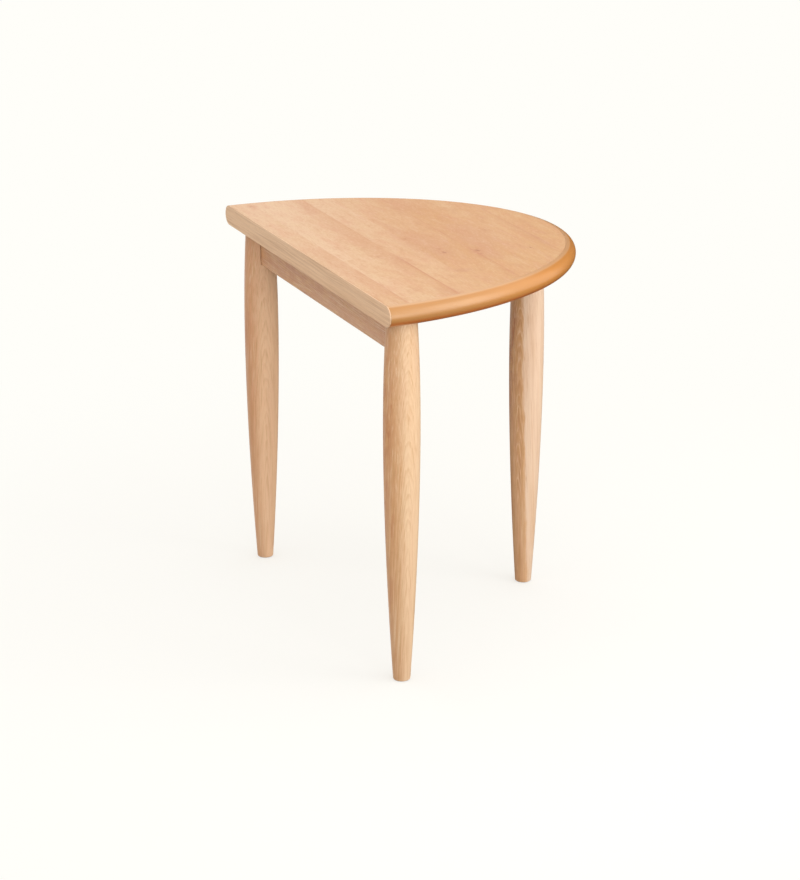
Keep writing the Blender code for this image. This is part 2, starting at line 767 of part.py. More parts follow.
def build_top(pilots):
    """Core, sheets, moulded edge and straight band."""
    core_low = UNDERSIDE + SHEET_THICKNESS + JOINT_GAP
    core_high = TABLE_HEIGHT - SHEET_THICKNESS - JOINT_GAP
    build_panel("top_core", core_low, core_high, CORE_BOARD, [groove_cutter(), *pilots])
    build_panel("top_laminate", TABLE_HEIGHT - SHEET_THICKNESS, TABLE_HEIGHT, MAPLE_LAMINATE)
    build_panel("backing_sheet", UNDERSIDE, UNDERSIDE + SHEET_THICKNESS, BACKING_PAPER, pilots)
    moulding = swept_along_edge("edge_moulding", moulding_section(), CURVE_LEAD - JOINT_GAP)
    place(moulding, EDGE_PLASTIC, TOP_ASSEMBLY)
    build_band()


build_top(build_underframe())
bpy.context.view_layer.update()
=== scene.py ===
"""Looks of the hall table: fine pieces, finishes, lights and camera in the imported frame.

Lengths are metres and +Z is up. The origin is on the floor under the middle of the
top, the straight edge faces +Y and the curved front faces -Y.
"""
import math

import bmesh
import bpy
from mathutils import Matrix, Vector


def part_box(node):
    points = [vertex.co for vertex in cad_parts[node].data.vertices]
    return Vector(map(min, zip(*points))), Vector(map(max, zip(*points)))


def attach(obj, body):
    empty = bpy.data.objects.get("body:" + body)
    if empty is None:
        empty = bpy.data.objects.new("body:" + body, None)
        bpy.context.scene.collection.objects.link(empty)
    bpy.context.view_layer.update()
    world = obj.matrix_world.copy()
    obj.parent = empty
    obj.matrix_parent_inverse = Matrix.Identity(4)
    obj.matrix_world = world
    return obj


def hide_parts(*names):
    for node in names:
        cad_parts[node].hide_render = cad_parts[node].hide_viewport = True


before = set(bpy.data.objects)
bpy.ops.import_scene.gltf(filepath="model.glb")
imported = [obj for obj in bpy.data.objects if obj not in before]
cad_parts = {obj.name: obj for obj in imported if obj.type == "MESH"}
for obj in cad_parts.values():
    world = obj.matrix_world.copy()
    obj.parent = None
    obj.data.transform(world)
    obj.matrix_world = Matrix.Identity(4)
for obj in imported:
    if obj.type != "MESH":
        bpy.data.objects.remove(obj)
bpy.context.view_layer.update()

UP = Vector((0, 0, 1))
RIGHT = Vector((1, 0, 0))
TO_WALL = Vector((0, 1, 0))
QUARTER = math.pi / 2

# Gap between pieces that touch, and how far a cutter runs past its cut
JOINT_GAP = 0.0003
OVERRUN = 0.004

# Sizes of the top, read from the frame
BAND_LOW, BAND_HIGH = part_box("straight_edge_band")
SHEET_LOW, SHEET_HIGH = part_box("top_laminate")
TABLE_HEIGHT = BAND_HIGH.z
UNDERSIDE = BAND_LOW.z
TOP_MIDDLE = (TABLE_HEIGHT + UNDERSIDE) / 2
NOSE_RADIUS = (TABLE_HEIGHT - UNDERSIDE) / 2
BAND_THICKNESS = BAND_HIGH.y - BAND_LOW.y
CURVE_LEAD = 0.002
CURVE_START = BAND_LOW.y - CURVE_LEAD
INNER_HALF_LENGTH = SHEET_HIGH.x
INNER_DEPTH = CURVE_START - SHEET_LOW.y

# Barbed spine of the moulding
SPINE_DEPTH = 0.0135
SPINE_THICKNESS = 0.002
BARB_COUNT = 2
BARB_HEIGHT = 0.0006
BARB_LENGTH = 0.003
BARB_PITCH = 0.005

# Eased edges
SHEET_EASING = 0.0002
BAND_EASING = 0.0004
RAIL_EASING = 0.0012
BLOCK_EASING = 0.0006
BRACKET_EASING = 0.00025

# Turned legs
LEG_BELLY_HEIGHT = 0.49
LEG_BELLY_RADIUS = 0.034
LEG_FOOT_RADIUS = 0.016
LEG_TOP_RADIUS = 0.0282
LOWER_TAPER_POWER = 1.8
UPPER_TAPER_POWER = 2.15
LEG_FOOT_ROUND = 0.0025
LEG_TOP_ROUND = 0.0008
HOUSING_SIDE_GAP = 0.0009

# Fixings
SCREW_RADIUS = 0.002
SCREW_CORE_RADIUS = 0.0014
SCREW_HEAD_RADIUS = 0.0041
SCREW_HEAD_HEIGHT = 0.0026
SCREW_POINT = 0.004
THREAD_PITCH = 0.0012
THREAD_SHARE = 0.7
RECESS_WIDTH = 0.0009
RECESS_SPAN = 0.0044
RECESS_DEPTH = 0.0016
COUNTERBORE_RADIUS = 0.0055
COUNTERBORE_DEPTH = 0.025
BLOCK_CHAMFER = 0.012
BLOCK_HALF_SIDE = 0.015
BRACKET_THICKNESS = 0.0018
BRACKET_BEND = 0.002
BRACKET_CORNER = 0.005
GLIDE_HEIGHT = 0.003
GLIDE_ROUND = 0.001
GLIDE_NAIL_RADIUS = 0.0016
GLIDE_NAIL_POINT = 0.004
SCUFF_HEIGHT = 0.0006

# Fineness of the round shapes
OVAL_STEPS = 240
NOSE_STEPS = 28
LEG_SIDES = 96
LEG_RINGS = 72
BORE_SIDES = 32
SCREW_SIDES = 32
ROUND_STEPS = 5
SMOOTH_ANGLE = math.radians(32)
FLAT_FACE_COSINE = 0.9999

# The span in which nearly all noise lies
NOISE_SPAN = (0.3, 0.7)

# Heart, middle and sap colours of the woods. On the legs the sap colour also holds a painted highlight, and
# the heart colour painted shade
TAN_WOOD = ((0.54, 0.188, 0.06), (0.745, 0.41, 0.203), (0.93, 0.66, 0.415))
ROSY_WOOD = ((0.56, 0.205, 0.092), (0.765, 0.368, 0.188), (0.975, 0.622, 0.38))
TWO_TONE_WOOD = ((0.51, 0.188, 0.076), (0.8, 0.44, 0.21), (0.97, 0.718, 0.528))

# Leg, its rail and glide, heading and distance of the pith, lean of the grain, heading and
# slant of the paler side, where the tone changes along it and the two tones, and colours
# On the legs the paler side faces the lamps and, where the slant is above zero, pales upward: partly
# sapwood, partly a painted highlight; the browner side is partly painted shade.
LEG_WOODS = (
    (
        "wall_leg_left", "wall_rail", "wall_glide_left",
        (3.1, -0.062), -0.088, (4.05, 0.012), (-0.5, 0.5, 0.25, 0.97), TAN_WOOD,
    ),
    (
        "wall_leg_right", "wall_rail", "wall_glide_right",
        (3.00, -0.056), -0.082, (3.6, 0.0), (-0.2, 0.75, 0.38, 1.14), ROSY_WOOD,
    ),
    (
        "front_leg", "centre_rail", "front_glide",
        (2.25, -0.05), -0.075, (4.00, 0.022), (0.03, 0.23, 0.44, 1.05), TWO_TONE_WOOD,
    ),
)
BRACKET_OUTWARD = {
    "wall_bracket_outer_left": -TO_WALL,
    "wall_bracket_inner_left": -TO_WALL,
    "wall_bracket_inner_right": -TO_WALL,
    "wall_bracket_outer_right": -TO_WALL,
    "centre_bracket_left": -RIGHT,
    "centre_bracket_right": RIGHT,
}
BLOCK_SIDES = {"corner_block_left": -1, "corner_block_right": 1}


class Graph:
    """The nodes of a material or a world, and short calls for them."""

    def __init__(self, owner):
        self.owner = owner
        owner.use_nodes = True
        self.tree = owner.node_tree
        self.shader = self.tree.nodes.get("Principled BSDF")
        self.place = self.node("TexCoord").outputs["Object"]

    def node(self, kind, inputs=None, **settings):
        made = self.tree.nodes.new("ShaderNode" + kind)
        for key, value in settings.items():
            setattr(made, key, value)
        for key, value in (inputs or {}).items():
            self.feed(made.inputs[key], value)
        return made

    def feed(self, socket, value):
        """Links a socket to another one or to a node, or sets its own value. A colour has
        three numbers."""
        if isinstance(value, bpy.types.Node):
            value = value.outputs[0]
        if isinstance(value, bpy.types.NodeSocket):
            self.tree.links.new(value, socket)
        elif socket.type == "RGBA":
            socket.default_value = (*value, 1.0)
        else:
            socket.default_value = value

    def math(self, operation, first, second=0.0):
        return self.node("Math", {0: first, 1: second}, operation=operation).outputs[0]

    def plus(self, first, second):
        return self.math("ADD", first, second)

    def less(self, first, second):
        return self.math("SUBTRACT", first, second)

    def times(self, first, second):
        return self.math("MULTIPLY", first, second)

    def larger(self, first, second):
        return self.math("MAXIMUM", first, second)

    def vector(self, operation, first, second=(0, 0, 0)):
        made = self.node("VectorMath", {0: first, 1: second}, operation=operation)
        scalar = operation in ("LENGTH", "DOT_PRODUCT")
        return made.outputs["Value" if scalar else "Vector"]

    def axes(self, vector):
        return self.node("SeparateXYZ", {0: vector}).outputs

    def joined(self, x=0.0, y=0.0, z=0.0):
        return self.node("CombineXYZ", {0: x, 1: y, 2: z}).outputs[0]

    def noise(self, vector, frequencies, detail=2.0, roughness=0.5, output="Fac"):
        """Noise with its own frequency along each axis, in features a metre."""
        place = self.vector("MULTIPLY", vector, frequencies)
        inputs = {"Vector": place, "Scale": 1.0, "Detail": detail, "Roughness": roughness}
        return self.node("TexNoise", inputs).outputs[output]

    def warped(self, place, log, frequencies, reach):
        """A place that noise pushes to and fro, over a reach along each axis."""
        noise = self.noise(log, frequencies, 2, 0.5, "Color")
        push = self.vector("MULTIPLY", self.vector("SUBTRACT", noise, (0.5, 0.5, 0.5)), reach)
        return self.vector("ADD", place, push)

    def random(self, value, output="Value"):
        """A random number, or colour, for each value."""
        return self.node("TexWhiteNoise", {"W": value}, noise_dimensions="1D").outputs[output]

    def ranged(self, value, low, high, to_low=0.0, to_high=1.0, smooth=False):
        inputs = {"Value": value, "From Min": low, "From Max": high, "To Min": to_low, "To Max": to_high}
        kind = "SMOOTHSTEP" if smooth else "LINEAR"
        return self.node("MapRange", inputs, interpolation_type=kind).outputs[0]

    def spread(self, noise, to_low=0.0, to_high=1.0):
        return self.ranged(noise, *NOISE_SPAN, to_low, to_high)

    def ramp(self, value, stops, interpolation="LINEAR"):
        """Grey ramp through (position, level) stops."""
        made = self.node("ValToRGB", {0: value})
        made.color_ramp.interpolation = interpolation
        elements = made.color_ramp.elements
        while len(elements) < len(stops):
            elements.new(1.0)
        for element, (position, level) in zip(elements, stops):
            element.position = position
            element.color = (level, level, level, 1.0)
        return made.outputs[0]

    def year_rings(self, rings, late_wood, faintest):
        """Lines of late wood, fainter in some years, and the rings' phase and strength."""
        phase = self.math("FRACT", rings)
        strength = self.ranged(self.random(self.math("FLOOR", rings)), 0, 1, faintest, 1.0)
        return self.times(self.ramp(phase, late_wood, "EASE"), strength), phase, strength

    def mix(self, factor, first, second):
        return self.node("Mix", {0: factor, 6: first, 7: second}, data_type="RGBA").outputs[2]

    def tinted(self, colour, *tints, share=None, smooth=False):
        """Lays tints over a colour. Each is a value, the low and the high between which the
        tint grows with it, its strength and its colour. A share weakens them all."""
        for value, low, high, strength, tint in tints:
            amount = self.ranged(value, low, high, 0, strength, smooth)
            if share is not None:
                amount = self.times(amount, share)
            colour = self.mix(amount, colour, tint)
        return colour

    def worn(self, colour, worn_colour, low=0.53, high=0.6, strength=0.5):
        """Lets a worn colour through where edges stick out, broken up by noise."""
        point = self.node("NewGeometry").outputs["Pointiness"]
        patches = self.spread(self.noise(self.place, (120, 120, 120), 3))
        return self.tinted(colour, (point, low, high, strength, worn_colour), share=patches)

    def blend(self, factor, first, second):
        """A mix of two shaders."""
        return self.node("MixShader", {0: factor, 1: first, 2: second})

    def bump(self, height, distance, strength):
        inputs = {"Height": height, "Distance": distance, "Strength": strength}
        self.feed(self.shader.inputs["Normal"], self.node("Bump", inputs).outputs[0])

    def finish(self, colour, roughness, specular=0.5, **constants):
        """Sets the shader's sockets and gives back the material."""
        self.feed(self.shader.inputs["Base Color"], colour)
        self.feed(self.shader.inputs["Roughness"], roughness)
        self.feed(self.shader.inputs["Specular IOR Level"], specular)
        for key, value in constants.items():
            self.feed(self.shader.inputs[key.replace("_", " ")], value)
        return self.owner


def material_graph(name):
    return Graph(bpy.data.materials.new(name))


# Solid hardwood. Growth rings are cylinders about a leaning pith outside the piece, and
# the colour goes from browner heartwood to paler sapwood across the piece. On the legs
# this change is also painted light: the paler side faces the lamps as a painted highlight,
# the browner side holds painted shade, and the lighter far side is a painted light rim.
HEART_FIGURE = (0.68, 0.33, 0.125)
WOOD_DARK = (0.56, 0.285, 0.12)
WOOD_LINE = (0.6, 0.31, 0.12)
WOOD_PINK = (0.83, 0.51, 0.33)
WOOD_WORN = (0.94, 0.69, 0.45)
FLECK_BROWN = (0.36, 0.175, 0.08)
RING_WIDTH = 0.0021
GRAIN_WARP = 0.011
FINE_WARP = 0.0026
RING_RIPPLE = 0.85

# Levels through a ring's phase, and how lively the grain is at each tone of the wood
LATE_WOOD = ((0.0, 0.0), (0.45, 0.18), (0.82, 1.0), (0.93, 0.75), (1.0, 0.0))
EARLY_WOOD = ((0.0, 0.0), (0.1, 1.0), (0.34, 0.3), (0.6, 0.0))
PRINTED_WOOD = ((0.0, 0.0), (0.5, 0.25), (0.85, 1.0), (1.0, 0.0))
LIVELY_TONES = ((0.0, 0.75), (0.2, 1.0), (0.6, 1.0), (1.0, 0.5))

# The heartwood, with painted shade on the side away from the lamps, darkens away from the
# paler wood, over a reach in half widths, and ends before the far side of a leg, which has
# a middle tone again as a painted light rim
HEART_AND_SHADE_REACH = 0.8
HEART_AND_SHADE_FADE = 0.4
HEART_AND_SHADE_END = -0.72
FAR_SIDE = -0.95
PAINTED_RIM_TONE = 0.4


def grain_turn(grain_axis, lean, heading):
    """Rotation that brings a leaning grain axis to local Z."""
    tilt = Vector((lean * math.cos(heading), lean * math.sin(heading), 1)).normalized()
    upright = grain_axis.to_track_quat("Z", "Y").to_matrix()
    return (upright @ tilt.rotation_difference(UP).to_matrix().inverted()).inverted()


def wood(node, grain_axis, pith, lean, paler_side, change, colours):
    """Lacquered pale hardwood. The pith is a heading about the grain axis and a distance
    from the middle of the piece, and the rings lean towards it. The paler side is a vector
    that is one half width of the piece long; on the legs it faces the lamps, so the pale tone
    there is partly a painted highlight and the browner tone partly painted shade. The change
    is where the tone starts and ends to change along it, in half widths, and the two tones."""
    heart_and_shade_wood, middle_wood, sap_and_highlight_wood = colours
    pith_heading, pith_distance = pith
    middle = middle_of(node)
    graph = material_graph(node + "_wood")
    turn = grain_turn(grain_axis, lean, pith_heading)
    aside = Vector((math.cos(pith_heading), math.sin(pith_heading), 0)) * pith_distance
    shift = -(turn @ middle) - aside
    mapping = {"Vector": graph.place, "Rotation": tuple(turn.to_euler()), "Location": tuple(shift)}
    log = graph.node("Mapping", mapping).outputs[0]

    across = graph.vector("MULTIPLY", log, (1, 1, 0))
    across = graph.warped(across, log, (11, 11, 2.4), (GRAIN_WARP, GRAIN_WARP, 0))
    across = graph.warped(across, log, (45, 45, 11), (FINE_WARP, FINE_WARP, 0))
    rings = graph.math("DIVIDE", graph.vector("LENGTH", across), RING_WIDTH)
    rings = graph.plus(rings, graph.times(graph.noise(log, (160, 160, 12), 3, 0.6), RING_RIPPLE))
    grain, phase, strength = graph.year_rings(rings, LATE_WOOD, 0.25)
    early_wood = graph.times(graph.ramp(phase, EARLY_WOOD, "EASE"), strength)

    broad = graph.noise(log, (16, 16, 1.6), 2)
    streaks = graph.noise(log, (150, 150, 3.2), 3, 0.55)
    threads = graph.noise(log, (430, 430, 6), 3, 0.6)
    fibres = graph.noise(log, (1300, 1300, 26), 4, 0.65)
    pink = graph.noise(log, (34, 34, 4.5), 1)
    figure = graph.noise(log, (95, 95, 24), 3, 0.6)
    flecks = graph.ranged(graph.noise(log, (1500, 1500, 150), 1), 0.68, 0.76)

    # Painted light on the legs: the tone that pales towards the lamps is partly a painted highlight, the
    # browner side partly painted shade, and the lighter far side a painted light rim.
    outward = graph.vector("SUBTRACT", graph.place, tuple(middle))
    side = graph.vector("DOT_PRODUCT", outward, tuple(paler_side / paler_side.length_squared))
    side = graph.plus(side, graph.spread(figure, -0.09, 0.09))
    fade = graph.ranged(side, change[0] - HEART_AND_SHADE_REACH, change[0], -HEART_AND_SHADE_FADE, 0)
    tone = graph.plus(graph.ranged(side, *change), fade)
    if change[0] > HEART_AND_SHADE_END:
        tone = graph.larger(tone, graph.ranged(side, FAR_SIDE, HEART_AND_SHADE_END, PAINTED_RIM_TONE, -HEART_AND_SHADE_FADE))
    tone = graph.plus(graph.plus(tone, graph.spread(broad, -0.14, 0.14)), graph.spread(streaks, -0.16, 0.16))
    colour = graph.tinted(
        heart_and_shade_wood,
        (figure, 0.47, 0.6, 0.9, HEART_FIGURE),
        (tone, 0.0, 0.5, 1, middle_wood),
        (tone, 0.5, 1.0, 1, sap_and_highlight_wood),
        (pink, 0.45, 0.75, 0.35, WOOD_PINK),
    )
    colour = graph.tinted(
        colour,
        (streaks, 0.5, 0.68, 0.5, WOOD_LINE),
        (threads, 0.52, 0.68, 0.6, WOOD_LINE),
        (threads, 0.46, 0.32, 0.6, WOOD_WORN),
        (early_wood, 0, 1, 0.45, WOOD_WORN),
        (grain, 0, 1, 0.45, WOOD_LINE),
        (fibres, 0.5, 0.8, 0.25, WOOD_DARK),
        (fibres, 0.5, 0.2, 0.25, WOOD_WORN),
        (flecks, 0, 1, 0.35, FLECK_BROWN),
        share=graph.ramp(tone, LIVELY_TONES),
    )
    sunk = graph.plus(graph.times(flecks, 0.8), graph.times(grain, 0.25))
    graph.bump(graph.less(fibres, sunk), 0.00006, 0.5)
    roughness = graph.plus(graph.ranged(fibres, 0.2, 0.8, 0.36, 0.46), graph.times(grain, 0.05))
    return graph.finish(graph.worn(colour, WOOD_WORN), roughness, 0.42)


# Planked laminate. Each stave runs along X between two joints, listed from the front.
STAVE_JOINTS = (-0.1805, -0.143, -0.0305, 0.0595, 0.118, 0.2235)
STAVE_TONES = (
    (0.18, 0.2),
    (0.16, 0.14),
    (0.34, 0.06),
    (0.14, 0.32),
    (0.52, 0.62),
    (0.42, 1.0),
    (0.64, 0.74),
)
JOINT_STRENGTHS = (0.8, 0.35, 0.9, 0.2, 1.0, 0.6)
JOINT_HALF_WIDTH = 0.0027
JOINT_GLOW = 0.022
TOP_LIGHT = (0.8, 0.53, 0.325)
TOP_DEEP = (0.655, 0.335, 0.138)
TOP_SHADE = (0.59, 0.27, 0.13)
TOP_RED = (0.56, 0.19, 0.11)
TOP_ROSE = (0.64, 0.318, 0.18)
TOP_RUST = (0.6, 0.262, 0.118)
TOP_WARM = (0.69, 0.318, 0.185)
TOP_COOL = (0.755, 0.505, 0.275)
TOP_PALE = (0.82, 0.59, 0.405)
TOP_YELLOW = (0.715, 0.412, 0.192)
KNOT_BROWN = (0.44, 0.15, 0.06)

# Printed grain of the staves: its random shift, its warp, and where its pith lies
STAVE_SHIFT = (0.7, 0.09, 0.5)
STAVE_WARP = 0.055
STAVE_RING_WIDTH = 0.0052
STAVE_PITH = 0.12
STAVE_DEPTH = 0.016
STAVE_LEAN = 0.055

# Small knots: place along X, place along Y, radius and strength
KNOTS = (
    (-0.107, 0.026, 0.0044, 0.66),
    (-0.12, -0.037, 0.005, 0.7),
    (-0.143, -0.137, 0.0026, 0.66),
    (0.01, 0.053, 0.0034, 0.3),
    (0.356, 0.232, 0.0036, 0.38),
    (-0.085, 0.151, 0.0034, 0.34),
    (0.004, -0.114, 0.005, 0.18),
    (-0.082, 0.024, 0.0026, 0.4),
    (-0.142, -0.034, 0.0028, 0.36),
)
KNOT_STRETCH = 0.62
KNOT_BEND = 0.9

# Rosy mottled patches: place along X, place along Y, reach along X and along Y, strength
BLUSHES = (
    (-0.04, 0.03, 0.15, 0.052, 0.85),
    (-0.02, -0.075, 0.14, 0.055, 0.8),
    (-0.07, -0.06, 0.13, 0.03, 1.0),
    (-0.14, -0.048, 0.06, 0.036, 1.0),
    (-0.23, 0.045, 0.014, 0.024, 1.0),
    (-0.1, 0.038, 0.075, 0.02, 0.9),
    (0.07, 0.045, 0.11, 0.014, 0.8),
    (-0.115, 0.124, 0.06, 0.013, 1.0),
    (0.06, 0.136, 0.33, 0.026, 0.6),
    (0.3, 0.132, 0.09, 0.018, 0.95),
    (0.25, -0.046, 0.11, 0.04, 0.55),
    (-0.13, 0.242, 0.26, 0.022, 0.55),
    (-0.345, 0.126, 0.04, 0.022, 0.8),
    (-0.03, -0.178, 0.1, 0.016, 0.4),
    (-0.09, -0.179, 0.075, 0.009, 1.0),
)


def stave_ramp(graph, along_y):
    """Tone of the staves, which changes across each one and jumps at the joints."""
    length = SHEET_HIGH.y - SHEET_LOW.y
    edges = [SHEET_LOW.y, *STAVE_JOINTS, SHEET_HIGH.y]
    seam = JOINT_HALF_WIDTH / length / 2
    stops = []
    for (low, high), (front_tone, wall_tone) in zip(zip(edges, edges[1:]), STAVE_TONES):
        stops.append(((low - SHEET_LOW.y) / length + seam, front_tone))
        stops.append(((high - SHEET_LOW.y) / length - seam, wall_tone))
    return graph.ramp(graph.ranged(along_y, SHEET_LOW.y, SHEET_HIGH.y), stops)


def joints(graph, x, y):
    """Number of the stave, mask of the dark joint lines, and mask of the warm bands on
    their wall side. Both are broken up and weaker to the right."""
    number = seams = glows = 0.0
    for joint, strength in zip(STAVE_JOINTS, JOINT_STRENGTHS):
        above = graph.less(y, joint)
        past = graph.math("GREATER_THAN", above, 0)
        number = graph.plus(past, number)
        away = graph.math("ABSOLUTE", above)
        seams = graph.larger(graph.ranged(away, JOINT_HALF_WIDTH, 0, 0, strength, smooth=True), seams)
        glows = graph.larger(graph.times(graph.ranged(above, JOINT_GLOW, 0, 0, strength), past), glows)
    broken = graph.ranged(graph.noise(graph.place, (6, 26, 1), 3), 0.38, 0.58, 0.1, 1.0)
    fading = graph.times(broken, graph.ranged(x, 0.12, -0.16, 0.35, 1.0))
    return number, graph.times(seams, fading), graph.times(glows, fading)


def knots(graph):
    """Mask of the knots' cores and a wider mask that bends the grain round them."""
    cores = bends = 0.0
    for x, y, radius, strength in KNOTS:
        offset = graph.vector("SUBTRACT", graph.place, (x, y, TABLE_HEIGHT))
        distance = graph.vector("LENGTH", graph.vector("MULTIPLY", offset, (KNOT_STRETCH, 1, 0)))
        ragged = graph.times(graph.noise(graph.place, (260, 420, 1), 2), radius)
        distance = graph.plus(distance, ragged)
        core = graph.ranged(distance, radius * 1.9, radius * 0.5, 0, strength, smooth=True)
        cores = graph.larger(core, cores)
        bends = graph.larger(graph.ranged(distance, radius * 5, radius, smooth=True), bends)
    return cores, bends


def blushes(graph, ragged):
    """Soft mask of the rosy patches, their edges broken up by noise."""
    mask = 0.0
    for x, y, reach_x, reach_y, strength in BLUSHES:
        offset = graph.vector("SUBTRACT", graph.place, (x, y, TABLE_HEIGHT))
        offset = graph.vector("MULTIPLY", offset, (1 / reach_x, 1 / reach_y, 0))
        distance = graph.plus(graph.vector("LENGTH", offset), ragged)
        mask = graph.larger(graph.ranged(distance, 1.15, 0.2, 0, strength, smooth=True), mask)
    return mask


def laminate():
    """Satin decorative laminate, printed as planks of a pale wood."""
    graph = material_graph("planked_laminate")
    x, y, _ = graph.axes(graph.place)
    number, seams, glows = joints(graph, x, y)
    cores, bends = knots(graph)
    shift = graph.vector("MULTIPLY", graph.random(number, "Color"), STAVE_SHIFT)
    stave = graph.vector("ADD", graph.place, shift)
    bent = graph.warped(stave, stave, (2.2, 11, 1), (0, STAVE_WARP, 0))
    bent_x, bent_y, _ = graph.axes(bent)
    depth = graph.plus(graph.times(bent_x, STAVE_LEAN), STAVE_DEPTH)
    radius = graph.vector("LENGTH", graph.joined(graph.less(bent_y, STAVE_PITH), depth))
    rings = graph.plus(graph.math("DIVIDE", radius, STAVE_RING_WIDTH), graph.times(bends, KNOT_BEND))
    grain, _, _ = graph.year_rings(rings, PRINTED_WOOD, 0.2)

    clouds = graph.noise(stave, (3.2, 13, 1), 2)
    mottle = graph.noise(bent, (22, 50, 1), 4, 0.66)
    hue = graph.noise(bent, (13, 36, 1), 4, 0.62)
    streaks = graph.noise(bent, (26, 92, 1), 3, 0.6)
    speckle = graph.noise(bent, (110, 330, 1), 3, 0.6)
    fibres = graph.noise(bent, (38, 1500, 1), 3, 0.65)
    pores = graph.ranged(graph.noise(stave, (190, 1400, 1), 1), 0.68, 0.77)
    rosy = blushes(graph, graph.spread(mottle, -0.45, 0.45))

    slant = graph.vector("DOT_PRODUCT", graph.place, (0.9, 1.0, 0.0))
    lively = graph.ranged(slant, -0.05, 0.32, 1.0, 0.35)
    tone = graph.plus(stave_ramp(graph, y), graph.spread(clouds, -0.18, 0.18))
    tone = graph.plus(tone, graph.times(graph.spread(mottle, 0.2, -0.2), lively))
    colour = graph.tinted(
        graph.mix(tone, TOP_DEEP, TOP_LIGHT),
        (slant, 0.1, -0.28, 0.72, TOP_YELLOW),
        (slant, 0.05, 0.5, 0.45, TOP_PALE),
        (hue, 0.5, 0.68, 0.34, TOP_WARM),
        (hue, 0.5, 0.32, 0.34, TOP_COOL),
        (rosy, 0, 1, 0.58, TOP_ROSE),
        (glows, 0, 1, 0.62, TOP_RUST),
    )
    colour = graph.tinted(colour, (mottle, 0.5, 0.68, 0.4, TOP_ROSE), share=lively)
    colour = graph.tinted(
        colour,
        (streaks, 0.52, 0.76, 0.36, TOP_SHADE),
        (streaks, 0.45, 0.25, 0.22, TOP_PALE),
        (grain, 0, 1, 0.11, TOP_SHADE),
        (bends, 0, 1, 0.16, TOP_RED),
        (speckle, 0.5, 0.72, 0.32, TOP_SHADE),
        (speckle, 0.46, 0.27, 0.3, TOP_PALE),
        (fibres, 0.5, 0.8, 0.18, TOP_SHADE),
        (pores, 0, 1, 0.2, TOP_SHADE),
        (seams, 0, 1, 0.48, TOP_RED),
        (cores, 0, 1, 1, KNOT_BROWN),
    )
    texture = graph.noise(graph.place, (900, 900, 900), 2)
    graph.bump(graph.plus(graph.times(texture, 0.5), graph.times(fibres, 0.6)), 0.00005, 0.35)
    return graph.finish(colour, graph.ranged(fibres, 0.2, 0.8, 0.46, 0.55), 0.26)


BAND_PALE = (0.95, 0.635, 0.393)
BAND_DEEP = (0.85, 0.525, 0.295)
BAND_STREAK = (0.62, 0.345, 0.175)
BAND_FIBRE = (0.46, 0.26, 0.14)
BAND_WORN = (0.86, 0.68, 0.5)
BAND_WARP = 0.02


def band_veneer():
    """Greyer printed wood band, with its grain along X."""
    graph = material_graph("edge_band_print")
    lift = graph.times(graph.noise(graph.place, (3, 1, 25), 2), BAND_WARP)
    bent = graph.vector("ADD", graph.place, graph.joined(z=lift))
    clouds = graph.noise(bent, (2.5, 1, 60), 2)
    streaks = graph.noise(bent, (5, 1, 210), 3, 0.6)
    lines = graph.noise(bent, (9, 1, 620), 3, 0.6)
    fibres = graph.noise(bent, (32, 1, 1900), 3, 0.65)
    pores = graph.ranged(graph.noise(bent, (150, 1, 1500), 1), 0.66, 0.76)
    colour = graph.tinted(
        BAND_PALE,
        (clouds, *NOISE_SPAN, 1, BAND_DEEP),
        (streaks, 0.47, 0.7, 0.55, BAND_STREAK),
        (lines, 0.48, 0.72, 0.5, BAND_STREAK),
        (fibres, 0.5, 0.8, 0.25, BAND_FIBRE),
        (pores, 0, 1, 0.3, FLECK_BROWN),
    )
    colour = graph.worn(colour, BAND_WORN, 0.52, 0.58, 0.7)
    graph.bump(graph.less(fibres, pores), 0.00005, 0.4)
    return graph.finish(colour, graph.ranged(fibres, 0.2, 0.8, 0.42, 0.52), 0.45)


HONEY_LIGHT = (0.565, 0.268, 0.084)
HONEY_DEEP = (0.535, 0.244, 0.072)
HONEY_PAINTED_LIGHT = (0.66, 0.27, 0.058)
HONEY_LINE = (0.57, 0.228, 0.048)
HONEY_PAINTED_SHADE = (0.65, 0.176, 0.032)
HONEY_PALE = (0.69, 0.385, 0.19)
HONEY_WORN = (0.78, 0.48, 0.25)
HONEY_SHEEN = (1.0, 0.94, 0.82)

# Painted light: the moulding is coloured richer and brighter from its left end to its front, in x less y
HONEY_LEFT = -0.52
HONEY_FRONT = -0.18

# Painted shade: the moulding is coloured darker towards its lower edge, in heights from the middle of the
# top
HONEY_TURN = -0.0045
HONEY_DEPTH = -0.013

# Where the moulding is trimmed flush with the laminate, below the table's height
TRIM_LINE = 0.0034
TRIM_HALF_WIDTH = 0.002
TRIM_LOW = 0.0024
TRIM_HIGH = 0.001


